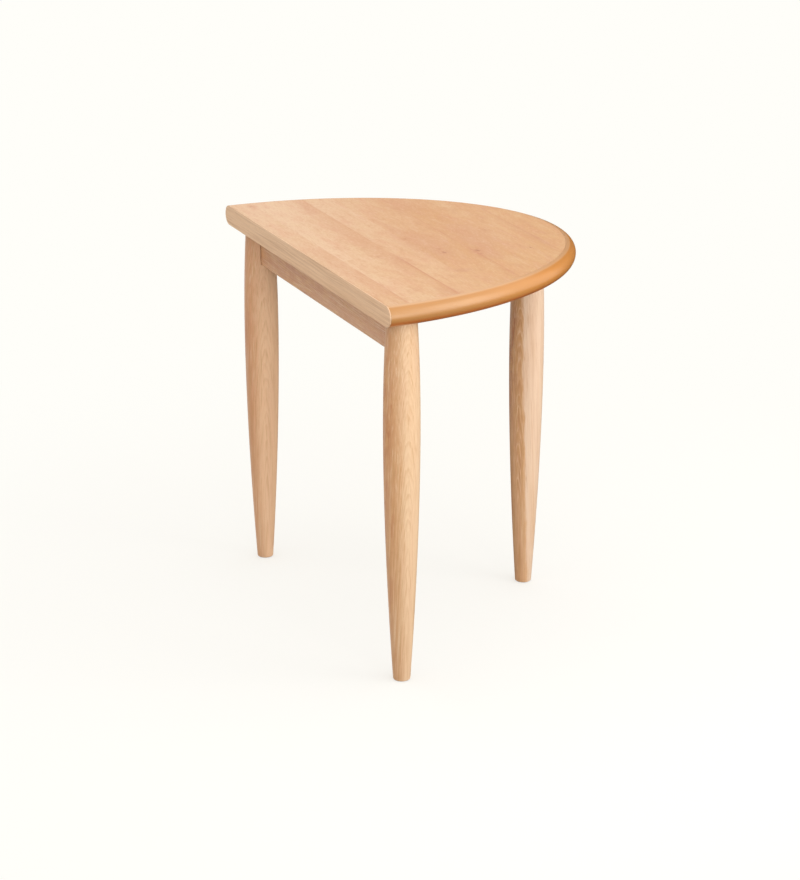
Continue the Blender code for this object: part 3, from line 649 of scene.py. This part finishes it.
def honey_moulding():
    """Smooth satin edging in a warm honey colour, with faint pull lines along its length
    and a paler strip where its upper edge is trimmed flush with the laminate. Its front is
    coloured richer as painted light, and its lower edge darker as painted shade."""
    graph = material_graph("honey_moulding")
    _, _, z = graph.axes(graph.place)
    lines = graph.noise(graph.joined(z), (1400, 1, 1), 3)
    clouds = graph.noise(graph.place, (11, 11, 26), 3, 0.55)
    fine = graph.noise(graph.place, (750, 750, 750), 3, 0.6)
    along = graph.vector("DOT_PRODUCT", graph.place, (1, -1, 0))
    below_top = graph.less(TABLE_HEIGHT, z)
    off_line = graph.math("ABSOLUTE", graph.less(below_top, TRIM_LINE))
    # The richer, brighter front is painted light.
    colour = graph.tinted(
        HONEY_LIGHT,
        (clouds, *NOISE_SPAN, 1, HONEY_DEEP),
        (along, HONEY_LEFT, HONEY_FRONT, 1, HONEY_PAINTED_LIGHT),
        (lines, 0.5, 0.8, 0.14, HONEY_LINE),
        (fine, 0.55, 0.75, 0.1, HONEY_WORN),
    )
    # Painted shade: darker towards the lower edge. The paler trimmed strip is the moulding's own colour.
    colour = graph.tinted(
        colour,
        (z, TOP_MIDDLE + HONEY_TURN, TOP_MIDDLE + HONEY_DEPTH, 0.85, HONEY_PAINTED_SHADE),
        (off_line, TRIM_HALF_WIDTH, 0, 0.3, HONEY_LINE),
        (below_top, TRIM_LOW, TRIM_HIGH, 0.9, HONEY_PALE),
        smooth=True,
    )
    graph.bump(graph.plus(fine, graph.times(lines, 0.4)), 0.00003, 0.35)
    return graph.finish(
        graph.worn(colour, HONEY_WORN),
        graph.spread(clouds, 0.3, 0.36),
        1.0,
        Specular_Tint=HONEY_SHEEN,
        Coat_Weight=0.35,
        Coat_Roughness=0.26,
        Coat_Tint=HONEY_SHEEN,
    )


def backing_paper():
    """Matt brown backing sheet with a faint fibre and scuffs."""
    graph = material_graph("backing_paper")
    fibre = graph.noise(graph.place, (260, 260, 1), 4, 0.7)
    colour = graph.tinted(
        (0.62, 0.465, 0.315),
        (graph.noise(graph.place, (6, 9, 1), 3), *NOISE_SPAN, 1, (0.55, 0.4, 0.265)),
        (fibre, 0.4, 0.75, 0.3, (0.42, 0.31, 0.21)),
        (graph.noise(graph.place, (40, 420, 1), 2), 0.66, 0.74, 0.25, (0.72, 0.6, 0.47)),
    )
    graph.bump(fibre, 0.00006, 0.5)
    return graph.finish(colour, graph.spread(fibre, 0.58, 0.7), 0.35)


def chip_board():
    """Pressed wood chips of three tones, with gaps between them."""
    graph = material_graph("particle_board")
    flakes = graph.node("TexVoronoi", {"Vector": graph.place, "Scale": 420.0})
    chips = graph.axes(flakes.outputs["Color"])[0]
    fine = graph.noise(graph.place, (900, 900, 900), 3)
    colour = graph.tinted(
        (0.6, 0.44, 0.28), (chips, 0, 1, 1, (0.44, 0.3, 0.175)), (fine, 0.55, 0.8, 0.5, (0.26, 0.165, 0.09))
    )
    graph.bump(graph.plus(chips, fine), 0.0003, 0.6)
    return graph.finish(colour, graph.spread(fine, 0.8, 0.92), 0.3)


def raw_dowel():
    """Unfinished hardwood pin."""
    graph = material_graph("raw_dowel_wood")
    fibres = graph.noise(graph.place, (900, 900, 900), 4, 0.7)
    clouds = graph.noise(graph.place, (90, 90, 90), 2)
    colour = graph.tinted(
        (0.72, 0.51, 0.32),
        (clouds, *NOISE_SPAN, 1, (0.62, 0.42, 0.25)),
        (fibres, 0.5, 0.8, 0.35, (0.45, 0.28, 0.15)),
    )
    graph.bump(fibres, 0.00008, 0.5)
    return graph.finish(colour, graph.spread(fibres, 0.6, 0.74))


def zinc_plate():
    """Bright zinc with a fine spangle, faintly yellow patches and dull marks."""
    graph = material_graph("bright_zinc")
    spangle = graph.node("TexVoronoi", {"Vector": graph.place, "Scale": 700.0})
    tone = graph.axes(spangle.outputs["Color"])[0]
    smears = graph.noise(graph.place, (130, 130, 130), 3, 0.6)
    scratches = graph.ranged(graph.noise(graph.place, (1800, 260, 420), 2), 0.62, 0.72)
    colour = graph.tinted(
        (0.66, 0.67, 0.68), (tone, 0, 1, 1, (0.58, 0.59, 0.6)), (smears, 0.5, 0.75, 0.4, (0.62, 0.58, 0.48))
    )
    graph.bump(graph.less(smears, scratches), 0.00002, 0.4)
    roughness = graph.spread(smears, 0.24, 0.4)
    roughness = graph.plus(roughness, graph.times(scratches, 0.12))
    return graph.finish(graph.worn(colour, (0.8, 0.8, 0.8)), roughness, Metallic=1.0)


def moulded_nylon():
    """Off-white moulded nylon, scuffed grey where it slides on the floor."""
    graph = material_graph("moulded_nylon")
    _, _, z = graph.axes(graph.place)
    grain = graph.noise(graph.place, (1200, 1200, 1200), 3)
    scuffs = graph.noise(graph.place, (300, 1400, 300), 3)
    low_down = graph.ranged(z, SCUFF_HEIGHT, 0, 0, 0.6)
    colour = graph.tinted((0.82, 0.79, 0.72), (grain, *NOISE_SPAN, 1, (0.76, 0.73, 0.66)))
    colour = graph.tinted(colour, (scuffs, 0.4, 0.7, 1, (0.42, 0.39, 0.34)), share=low_down)
    graph.bump(graph.plus(grain, scuffs), 0.00004, 0.4)
    return graph.finish(colour, graph.spread(scuffs, 0.46, 0.6))


def arc(centre_x, centre_y, radius, start, end, steps):
    """Points on a round stretch, both ends included."""
    angles = [start + (end - start) * i / steps for i in range(steps + 1)]
    return [(centre_x + radius * math.cos(a), centre_y + radius * math.sin(a)) for a in angles]


def drum(radius, low, high):
    """Profile of a plain round solid."""
    return [(0, high), (radius, high), (radius, low), (0, low)]


def size_of(node):
    low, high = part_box(node)
    return high - low


def middle_of(node, height=None):
    """Middle of a node, or its place in plan at a height."""
    low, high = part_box(node)
    middle = (low + high) / 2
    if height is not None:
        middle.z = height
    return middle


def shade(mesh):
    """Smooth on round stretches, flat on the faces that look straight along an axis."""
    mesh.shade_smooth()
    mesh.set_sharp_from_angle(angle=SMOOTH_ANGLE)
    for polygon in mesh.polygons:
        if max(map(abs, polygon.normal)) > FLAT_FACE_COSINE:
            polygon.use_smooth = False


def add_object(name, data):
    obj = bpy.data.objects.new(name, data)
    bpy.context.scene.collection.objects.link(obj)
    return obj


def to_object(edit, name, matrix=Matrix.Identity(4)):
    """Ends a bmesh edit as an object in the scene, its faces pointing out."""
    bmesh.ops.transform(edit, matrix=matrix, verts=edit.verts)
    bmesh.ops.recalc_face_normals(edit, faces=edit.faces)
    mesh = bpy.data.meshes.new(name)
    edit.to_mesh(mesh)
    edit.free()
    return add_object(name, mesh)


def lathe(name, profile, sides, matrix):
    """A closed solid turned about local Z, from (radius, height) points, top to bottom."""
    edit = bmesh.new()
    rings = []
    for radius, height in profile:
        turns = [2 * math.pi * i / sides for i in range(sides if radius else 1)]
        rings.append([edit.verts.new((radius * math.cos(t), radius * math.sin(t), height)) for t in turns])
    for upper, lower in zip(rings, rings[1:]):
        for i in range(sides):
            places = ((upper, i), (lower, i), (lower, i + 1), (upper, i + 1))
            corners = [ring[place % len(ring)] for ring, place in places]
            edit.faces.new(list(dict.fromkeys(corners)))
    return to_object(edit, name, matrix)


def skinned(loops):
    """Edit of a closed solid through loops of points, with a face over both ends."""
    edit = bmesh.new()
    loops = [[edit.verts.new(point) for point in loop] for loop in loops]
    edit.faces.new(loops[0])
    edit.faces.new(loops[-1])
    for near, far in zip(loops, loops[1:]):
        for i in range(len(near)):
            j = (i + 1) % len(near)
            edit.faces.new([near[i], near[j], far[j], far[i]])
    return edit


def slab(outline, half_thickness):
    """Edit of a flat plate with this outline in local X and Y."""
    return skinned([[(x, y, z) for x, y in outline] for z in (-half_thickness, half_thickness)])


def ease(edit, width, segments, edges=None):
    """Rounds the given edges, or all that are sharper than the smooth angle."""
    if edges is None:
        bmesh.ops.recalc_face_normals(edit, faces=edit.faces)
        edges = [edge for edge in edit.edges if edge.calc_face_angle() > SMOOTH_ANGLE]
    bmesh.ops.bevel(
        edit, geom=edges, offset=width, offset_type="OFFSET", segments=segments, profile=0.5, affect="EDGES"
    )


def prism(name, outline, half_thickness, matrix, easing, segments):
    """A flat plate with its outline in local X and Y, eased round both faces."""
    edit = slab(outline, half_thickness)
    ease(edit, easing, segments)
    return to_object(edit, name, matrix)


def eased_box(name, near, far, easing=0.0):
    """A cuboid between two corners, its edges rounded if easing is more than zero."""
    edit = bmesh.new()
    bmesh.ops.create_cube(edit, size=1.0)
    bmesh.ops.scale(edit, vec=far - near, verts=edit.verts)
    bmesh.ops.translate(edit, vec=(near + far) / 2, verts=edit.verts)
    if easing:
        ease(edit, easing, 3)
    return to_object(edit, name)


def cut(piece, cutters):
    """Takes each cutter out of a piece and removes the cutters."""
    for cutter in cutters:
        boolean = piece.modifiers.new(cutter.name, "BOOLEAN")
        boolean.operation = "DIFFERENCE"
        boolean.solver = "EXACT"
        boolean.object = cutter
    graph = bpy.context.evaluated_depsgraph_get()
    mesh = bpy.data.meshes.new_from_object(piece.evaluated_get(graph))
    mesh.name = piece.name
    piece.modifiers.clear()
    piece.data = mesh
    for cutter in cutters:
        bpy.data.objects.remove(cutter)


def show(piece, node, material, slot, *cutters):
    """Cuts a piece and gives it its material and its place in the frame."""
    if cutters:
        cut(piece, cutters)
    shade(piece.data)
    piece.data.materials.clear()
    piece.data.materials.append(material)
    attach(piece, "root")
    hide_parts(node)


def aimed(origin, direction):
    """Matrix that turns local +Z to a direction, for pieces turned about their axis."""
    return Matrix.Translation(origin) @ direction.to_track_quat("Z", "Y").to_matrix().to_4x4()


def frame_matrix(origin, x_axis, z_axis):
    """Matrix of a local frame with its X and Z axes along the given directions."""
    matrix = Matrix((x_axis, z_axis.cross(x_axis), z_axis)).transposed().to_4x4()
    matrix.translation = origin
    return matrix


def long_axis(node):
    """Middle, half length and direction of a node that is longest along its own axis."""
    size = size_of(node)
    axis = max(range(3), key=lambda i: size[i])
    return middle_of(node), size[axis] / 2, Vector([float(i == axis) for i in range(3)])


def bore(node, radius):
    """A round cutter round a dowel or a screw, longer than it by the gap at both ends."""
    middle, half, direction = long_axis(node)
    reach = half + JOINT_GAP
    return lathe("bore_" + node, drum(radius, -reach, reach), BORE_SIDES, aimed(middle, direction))


def dowels_of(*joints):
    """Nodes of both dowels of each joint."""
    return [f"{joint}_dowel_{height}" for joint in joints for height in ("upper", "lower")]


def dowel_bores(*joints):
    return [bore(node, size_of(node).z / 2 + JOINT_GAP) for node in dowels_of(*joints)]


def screw_bores(nodes):
    return [bore(node, SCREW_RADIUS + JOINT_GAP) for node in nodes]


def oval():
    """Points round the oval in plan from right to left, with the direction out of each."""
    stations = []
    for step in range(OVAL_STEPS + 1):
        turn = math.pi * step / OVAL_STEPS
        x, y = math.cos(turn), math.sin(turn)
        point = Vector((INNER_HALF_LENGTH * x, CURVE_START - INNER_DEPTH * y, 0))
        stations.append((point, Vector((INNER_DEPTH * x, -INNER_HALF_LENGTH * y, 0)).normalized()))
    return stations


def build_sheet(name, node, material, screws=()):
    """A thin sheet with the outline of the top inside its moulding."""
    curve = [point[:2] for point, _ in oval()]
    outline = [(INNER_HALF_LENGTH, SHEET_HIGH.y), *curve, (-INNER_HALF_LENGTH, SHEET_HIGH.y)]
    middle = Matrix.Translation((0, 0, middle_of(node).z))
    sheet = prism(name, outline, size_of(node).z / 2, middle, SHEET_EASING, 2)
    show(sheet, node, material, node, *screw_bores(screws))


def barb_points():
    """Upper side of the spine's section, from its root to its tip."""
    surface = SPINE_THICKNESS / 2
    points = [(JOINT_GAP, surface)]
    for index in range(BARB_COUNT):
        back = -SPINE_DEPTH + BARB_LENGTH + BARB_PITCH * (BARB_COUNT - 1 - index)
        points += [(back, surface), (back, surface + BARB_HEIGHT), (back - BARB_LENGTH, surface)]
    return points


def build_moulding(material):
    """Half-round nose swept round the oval, with a barbed spine towards the core."""
    nose = arc(0, 0, NOSE_RADIUS, -QUARTER, QUARTER, NOSE_STEPS)[1:-1]
    upper = barb_points()
    lower = [(x, -y) for x, y in reversed(upper)]
    section = [(JOINT_GAP, -NOSE_RADIUS), *nose, (JOINT_GAP, NOSE_RADIUS), *upper, *lower]
    lead = TO_WALL * (CURVE_LEAD - JOINT_GAP)
    stations = oval()
    stations = [(stations[0][0] + lead, RIGHT), *stations, (stations[-1][0] + lead, -RIGHT)]
    loops = [[point + out * x + UP * (TOP_MIDDLE + y) for x, y in section] for point, out in stations]
    show(to_object(skinned(loops), "moulded_edge"), "edge_moulding", material, "edge_moulding")


def build_band(material):
    """Straight band, with ends that follow the moulding's half-round nose."""
    end_centre = BAND_HIGH.x - NOSE_RADIUS
    right = arc(end_centre, 0, NOSE_RADIUS, -QUARTER, QUARTER, NOSE_STEPS)
    left = arc(-end_centre, 0, NOSE_RADIUS, QUARTER, 3 * QUARTER, NOSE_STEPS)
    middle = Vector((0, (BAND_LOW.y + BAND_HIGH.y) / 2, TOP_MIDDLE))
    matrix = frame_matrix(middle, RIGHT, -TO_WALL)
    band = prism("wall_edge_band", right + left, BAND_THICKNESS / 2, matrix, BAND_EASING, 3)
    show(band, "straight_edge_band", material, "edge_band")


def leg_radius(height, top):
    """Radius of the turned leg at a height above the floor."""
    if height < LEG_BELLY_HEIGHT:
        share = (LEG_BELLY_HEIGHT - height) / LEG_BELLY_HEIGHT
        return LEG_BELLY_RADIUS - (LEG_BELLY_RADIUS - LEG_FOOT_RADIUS) * share**LOWER_TAPER_POWER
    share = (height - LEG_BELLY_HEIGHT) / (top - LEG_BELLY_HEIGHT)
    return LEG_BELLY_RADIUS - (LEG_BELLY_RADIUS - LEG_TOP_RADIUS) * share**UPPER_TAPER_POWER


def leg_profile(bottom, top):
    """Outline of the leg, from its top down the outside to the middle of its foot."""
    low_round = bottom + LEG_FOOT_ROUND
    high_round = top - LEG_TOP_ROUND
    corner = leg_radius(high_round, top) - LEG_TOP_ROUND
    points = [(0, top), *arc(corner, high_round, LEG_TOP_ROUND, QUARTER, 0, ROUND_STEPS)[:-1]]
    for i in range(LEG_RINGS):
        height = high_round + (low_round - high_round) * i / LEG_RINGS
        points.append((leg_radius(height, top), height))
    corner = leg_radius(low_round, top) - LEG_FOOT_ROUND
    return [*points, *arc(corner, low_round, LEG_FOOT_ROUND, 0, -QUARTER, ROUND_STEPS), (0, bottom)]


def housing_cutter(axis, rail_node, towards):
    """The open-topped slot in a leg that takes a rail's end."""
    low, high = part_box(rail_node)
    side = Vector((abs(towards.y), abs(towards.x), 0))
    half_width = min(high.x - low.x, high.y - low.y) / 2 + HOUSING_SIDE_GAP
    floor = min(abs((end - axis).dot(towards)) for end in (low, high)) - JOINT_GAP
    near = axis + towards * floor - side * half_width
    far = axis + towards * (LEG_BELLY_RADIUS + OVERRUN) + side * half_width
    near.z = low.z - JOINT_GAP
    far.z = high.z + OVERRUN
    return eased_box("housing", near, far)


def glide_cutter(axis, glide_node):
    """The seat of a glide's pad and its nail in a foot."""
    pad = size_of(glide_node).x / 2 + JOINT_GAP
    nail = GLIDE_NAIL_RADIUS + JOINT_GAP
    shoulder = GLIDE_HEIGHT + JOINT_GAP
    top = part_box(glide_node)[1].z + JOINT_GAP
    profile = [*drum(nail, shoulder, top)[:3], *drum(pad, -OVERRUN, shoulder)[1:]]
    return lathe("glide_seat", profile, BORE_SIDES * 2, Matrix.Translation(axis))


def build_leg(node, rail_node, glide_node, material):
    low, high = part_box(node)
    axis = middle_of(node, 0)
    to_rail = middle_of(rail_node, 0) - axis
    across = abs(to_rail.x) > abs(to_rail.y)
    towards = RIGHT * math.copysign(1, to_rail.x) if across else TO_WALL * math.copysign(1, to_rail.y)
    leg = lathe("turned_" + node, leg_profile(low.z, high.z), LEG_SIDES, Matrix.Translation(axis))
    cutters = [housing_cutter(axis, rail_node, towards), glide_cutter(axis, glide_node), *dowel_bores(node)]
    show(leg, node, material, "solid_wood", *cutters)


def cross_housing():
    """The slot in the wall rail that takes the centre rail's end."""
    low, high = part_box("wall_rail")
    centre_low, centre_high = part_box("centre_rail")
    return eased_box(
        "cross_housing",
        Vector((centre_low.x - JOINT_GAP, low.y - OVERRUN, low.z - OVERRUN)),
        Vector((centre_high.x + JOINT_GAP, centre_high.y + JOINT_GAP, high.z + OVERRUN)),
    )


def build_rail(name, node, material, *cutters):
    show(eased_box(name, *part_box(node), RAIL_EASING), node, material, "solid_wood", *cutters)


def build_block(node, side, material):
    """Corner block with its free corner cut off, a through bore and a counterbore."""
    low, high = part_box(node)
    inner, outer = (low.x, high.x) if side > 0 else (high.x, low.x)
    outline = [
        (inner, high.y),
        (inner, low.y),
        (outer - side * BLOCK_CHAMFER, low.y),
        (outer, low.y + BLOCK_CHAMFER),
        (outer, high.y),
    ]
    middle = Matrix.Translation((0, 0, (low.z + high.z) / 2))
    block = prism("glue_" + node, outline, (high.z - low.z) / 2, middle, BLOCK_EASING, 3)
    screws = (node + "_top_screw", node + "_wall_screw")
    mouth = Matrix.Translation(middle_of(screws[0], low.z))
    profile = drum(COUNTERBORE_RADIUS, -OVERRUN, COUNTERBORE_DEPTH)
    counterbore = lathe("counterbore", profile, BORE_SIDES, mouth)
    show(block, node, material, "solid_wood", counterbore, *screw_bores(screws))


def build_bracket(node, outward, material):
    """Bent steel angle with rounded leaves, eased edges and two screw holes."""
    size = size_of(node)
    width = size.x if abs(outward.y) else size.y
    corner = middle_of(node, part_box(node)[1].z + JOINT_GAP) - outward * (size.z / 2 + JOINT_GAP)
    inner = JOINT_GAP + BRACKET_THICKNESS
    far = JOINT_GAP + size.z
    centre = inner + BRACKET_BEND
    section = [
        (far, JOINT_GAP),
        (far, inner),
        *arc(centre, centre, BRACKET_BEND, -QUARTER, -math.pi, ROUND_STEPS * 2),
        (inner, far),
        (JOINT_GAP, far),
        *arc(centre, centre, BRACKET_BEND + BRACKET_THICKNESS, -math.pi, -QUARTER, ROUND_STEPS * 2),
    ]
    edit = slab(section, width / 2)
    ends = [
        edge
        for edge in edit.edges
        if all(max(vert.co.xy) > far - BRACKET_THICKNESS for vert in edge.verts)
        and abs(edge.verts[0].co.z - edge.verts[1].co.z) < JOINT_GAP
    ]
    ease(edit, BRACKET_CORNER, 8, ends)
    ease(edit, BRACKET_EASING, 2)
    bracket = to_object(edit, "steel_" + node, frame_matrix(corner, outward, outward.cross(-UP)))
    show(bracket, node, material, "zinc_steel", *screw_bores((node + "_rail_screw", node + "_top_screw")))


def screw_profile(length):
    """Pan head above zero height, threaded shank and point below it."""
    dome = arc(0, 0, 1, QUARTER, 0, ROUND_STEPS * 2)[1:]
    points = [(0, SCREW_HEAD_HEIGHT)]
    points += [(x * SCREW_HEAD_RADIUS, y * SCREW_HEAD_HEIGHT) for x, y in dome]
    points.append((SCREW_CORE_RADIUS, 0))
    start = (THREAD_SHARE - 1) * length
    for i in range(int((length + start - SCREW_POINT) / THREAD_PITCH)):
        height = start - i * THREAD_PITCH
        points += [(SCREW_CORE_RADIUS, height), (SCREW_RADIUS, height - THREAD_PITCH / 2)]
    return [*points, (SCREW_CORE_RADIUS, SCREW_POINT - length), (0, -length)]


def build_screw(node, direction, material):
    """Pan-head screw with a cross recess, driven in a direction."""
    middle, half, _ = long_axis(node)
    matrix = aimed(middle + direction * (SCREW_HEAD_HEIGHT - half), -direction)
    screw = lathe("driven_" + node, screw_profile(half * 2 - SCREW_HEAD_HEIGHT), SCREW_SIDES, matrix)
    bars = []
    for reach_x, reach_y in ((RECESS_SPAN, RECESS_WIDTH), (RECESS_WIDTH, RECESS_SPAN)):
        reach = Vector((reach_x / 2, reach_y / 2, 0))
        low = UP * (SCREW_HEAD_HEIGHT - RECESS_DEPTH) - reach
        bars.append(eased_box("recess", low, UP * (SCREW_HEAD_HEIGHT + OVERRUN) + reach))
        bars[-1].data.transform(matrix)
    show(screw, node, material, "zinc_steel", *bars)


def build_glide(node, material):
    """Rounded pad on a nail, sunk in a foot."""
    low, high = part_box(node)
    rim = (high.x - low.x) / 2 - GLIDE_ROUND
    profile = [
        (0, high.z),
        (GLIDE_NAIL_RADIUS, high.z - GLIDE_NAIL_POINT),
        (GLIDE_NAIL_RADIUS, GLIDE_HEIGHT),
        *arc(rim, GLIDE_HEIGHT - GLIDE_ROUND, GLIDE_ROUND, QUARTER, 0, ROUND_STEPS),
        *arc(rim, GLIDE_ROUND, GLIDE_ROUND, 0, -QUARTER, ROUND_STEPS),
        (0, low.z),
    ]
    glide = lathe("nailed_" + node, profile, BORE_SIDES * 2, Matrix.Translation(middle_of(node, 0)))
    show(glide, node, material, "nylon")


def dress_node(node, material):
    """A better material on a frame node that stays as it is."""
    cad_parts[node].material_slots[0].material = material


def build_table():
    blocks = list(BLOCK_SIDES)
    top_screws = [f"{name}_top_screw" for name in [*BRACKET_OUTWARD, *blocks]]
    wall_screws = [f"{name}_rail_screw" for name in BRACKET_OUTWARD if name.startswith("wall")]
    wall_screws += [f"{name}_wall_screw" for name in blocks]
    centre_screws = [f"{name}_rail_screw" for name in BRACKET_OUTWARD if name.startswith("centre")]

    build_sheet("laminate_sheet", "top_laminate", laminate())
    build_sheet("underside_sheet", "backing_sheet", backing_paper(), top_screws)
    build_moulding(honey_moulding())
    build_band(band_veneer())
    dress_node("top_core", chip_board())

    # The paler side of each leg, turned to the lamps, is partly a painted highlight.
    for node, rail, glide, pith, lean, (heading, slant), change, colours in LEG_WOODS:
        paler_side = Vector((math.cos(heading), math.sin(heading), slant)) * LEG_BELLY_RADIUS
        build_leg(node, rail, glide, wood(node, UP, pith, lean, paler_side, change, colours))
    side = UP * size_of("wall_rail").z / 2
    wall_wood = wood("wall_rail", RIGHT, (0.4, 0.09), 0.03, side, (-1, 1, 0.18, 0.34), ROSY_WOOD)
    centre_wood = wood("centre_rail", TO_WALL, (1.9, 0.07), 0.04, side, (-1, 1, 0.45, 0.6), ROSY_WOOD)
    bores = dowel_bores("wall_leg_left", "wall_leg_right", "cross_joint") + screw_bores(wall_screws)
    build_rail("long_rail", "wall_rail", wall_wood, cross_housing(), *bores)
    bores = dowel_bores("front_leg", "cross_joint") + screw_bores(centre_screws)
    build_rail("cross_rail", "centre_rail", centre_wood, *bores)
    for node, side in BLOCK_SIDES.items():
        paler_side = RIGHT * side * BLOCK_HALF_SIDE
        pith = (0.9 * side, 0.03)
        build_block(node, side, wood(node, UP, pith, 0.05, paler_side, (-1, 1, 0.35, 0.65), TAN_WOOD))

    zinc = zinc_plate()
    for node, outward in BRACKET_OUTWARD.items():
        build_bracket(node, outward, zinc)
        build_screw(node + "_rail_screw", -outward, zinc)
        build_screw(node + "_top_screw", UP, zinc)
    for node in blocks:
        build_screw(node + "_wall_screw", TO_WALL, zinc)
        build_screw(node + "_top_screw", UP, zinc)

    nylon = moulded_nylon()
    for _, _, glide, *_ in LEG_WOODS:
        build_glide(glide, nylon)
    dowel_wood = raw_dowel()
    for node in dowels_of(*[row[0] for row in LEG_WOODS], "cross_joint"):
        dress_node(node, dowel_wood)


# Camera, measured from the photograph's outline in a frame of 800 by 880 pixels
CAMERA_PLACE = Vector((-4.71511, 2.20699, 2.158))
CAMERA_FORWARD = Vector((0.85924111, -0.38976905, -0.33133789))
CAMERA_LENS = 115.42
SENSOR_WIDTH = 36.0


def add_aimed(name, data, place, direction):
    """A camera or a light at a place, looking in a direction."""
    obj = add_object(name, data)
    obj.location = place
    obj.rotation_mode = "QUATERNION"
    obj.rotation_quaternion = direction.to_track_quat("-Z", "Y")
    return obj


def build_camera():
    data = bpy.data.cameras.new("photo_camera")
    data.lens = CAMERA_LENS
    data.sensor_width = SENSOR_WIDTH
    bpy.context.scene.camera = add_aimed("photo_camera", data, CAMERA_PLACE, CAMERA_FORWARD)


# Studio. Headings turn about the table from the camera's side, to the camera's right.
PAPER = (1.0, 0.991, 0.947)
FILL_COLOUR = (1.0, 0.985, 0.965)
FILL_STRENGTH = 1.04
FLOOR_COLOUR = (0.9, 0.89, 0.86)
FLOOR_BOUNCE = (0.2, 0.19, 0.175)
FLOOR_PAPER_SHARE = 0.62
FLOOR_RADIUS = 9.0
FLOOR_NEAR = 0.75
FLOOR_FAR = 1.7
LIGHT_AIM = Vector((0, 0, 0.45))

# Name, heading in degrees, distance, height, width, height of the panel, power in watts
SOFT_PANELS = (
    ("right_panel", 68, 2.6, 1.5, 1.4, 2.4, 19),
    ("front_panel", 16, 3.0, 1.3, 1.5, 2.4, 15),
    ("low_panel", 36, 2.8, 0.9, 1.4, 1.4, 9.5),
)

# Black cards that only reflections see. The upright one is beside the table, and the
# lying ones on the floor: name, heading, nearest and farthest distance, and half width.
CARD_COLOUR = (0.02, 0.02, 0.02)
CARD_LIFT = 0.004
UPRIGHT_HEADING = 144
UPRIGHT_DISTANCE = 1.6
UPRIGHT_HALF_WIDTH = 0.75
UPRIGHT_HEIGHT = 1.9
LYING_CARDS = (
    ("side_card", 118, -0.15, 2.9, 1.7),
    ("front_card", 42, 0.26, 2.2, 1.1),
)


def heading_axes(heading):
    """Directions out along a heading and across it."""
    to_camera = Vector((-CAMERA_FORWARD.x, -CAMERA_FORWARD.y, 0)).normalized()
    outward = Matrix.Rotation(math.radians(heading), 3, "Z") @ to_camera
    return outward, UP.cross(outward)


def add_panel(name, heading, distance, height, width, tall, power):
    """A soft panel light that looks at the table."""
    data = bpy.data.lights.new(name, "AREA")
    data.shape = "RECTANGLE"
    data.size = width
    data.size_y = tall
    data.energy = power
    place = heading_axes(heading)[0] * distance + UP * height
    add_aimed(name, data, place, LIGHT_AIM - place).visible_camera = False


def add_card(name, near, far, across):
    """A black card between two edges of this half length, seen by glossy rays alone."""
    edit = bmesh.new()
    corners = (near - across, near + across, far + across, far - across)
    edit.faces.new([edit.verts.new(corner) for corner in corners])
    card = to_object(edit, name)
    card.data.materials.append(material_graph(name).finish(CARD_COLOUR, 0.9))
    card.visible_camera = False
    card.visible_diffuse = False
    card.visible_shadow = False
    card.visible_transmission = False


def build_cards():
    outward, aside = heading_axes(UPRIGHT_HEADING)
    foot = outward * UPRIGHT_DISTANCE + UP * CARD_LIFT
    add_card("upright_card", foot, foot + UP * UPRIGHT_HEIGHT, aside * UPRIGHT_HALF_WIDTH)
    for index, (name, heading, near, far, half_width) in enumerate(LYING_CARDS):
        outward, aside = heading_axes(heading)
        lift = UP * CARD_LIFT * (1 + index / 2)
        add_card(name, outward * near + lift, outward * far + lift, aside * half_width)


def seen_directly(graph):
    """One on camera, glossy and transmission rays, and zero on the rest."""
    path = graph.node("LightPath").outputs
    seen = graph.larger(path["Is Camera Ray"], path["Is Glossy Ray"])
    return graph.larger(seen, path["Is Transmission Ray"])


def build_world():
    """Even fill light, with paper white behind everything that is seen directly."""
    graph = Graph(bpy.data.worlds.new("studio"))
    graph.tree.nodes.clear()
    fill = graph.node("Background", {"Color": FILL_COLOUR, "Strength": FILL_STRENGTH})
    paper = graph.node("Background", {"Color": PAPER})
    graph.node("OutputWorld", {"Surface": graph.blend(seen_directly(graph), fill, paper)})
    bpy.context.scene.world = graph.owner


def build_floor():
    """Plain pale floor that fades to the paper white away from the table. It is clear from
    below, so that a view from there shows the underside."""
    edit = bmesh.new()
    bmesh.ops.create_circle(edit, cap_ends=True, segments=96, radius=FLOOR_RADIUS)
    floor = to_object(edit, "studio_floor")
    if floor.data.polygons[0].normal.z < 0:
        floor.data.flip_normals()
    graph = material_graph("studio_floor")
    graph.tree.nodes.remove(graph.shader)
    distance = graph.vector("LENGTH", graph.place)
    away = graph.ranged(distance, FLOOR_NEAR, FLOOR_FAR, FLOOR_PAPER_SHARE, 1.0, smooth=True)
    seen = seen_directly(graph)
    matt = graph.node("BsdfDiffuse", {"Color": graph.mix(seen, FLOOR_BOUNCE, FLOOR_COLOUR)})
    paper = graph.node("Emission", {"Color": PAPER})
    below = graph.node("NewGeometry").outputs["Backfacing"]
    clear = graph.node("BsdfTransparent")
    surface = graph.blend(below, graph.blend(graph.times(away, seen), matt, paper), clear)
    graph.feed(graph.tree.nodes["Material Output"].inputs["Surface"], surface)
    floor.data.materials.append(graph.owner)


build_camera()
build_table()
build_world()
build_floor()
build_cards()
for panel in SOFT_PANELS:
    add_panel(*panel)
bpy.context.scene.view_settings.view_transform = "Standard"
bpy.context.view_layer.update()
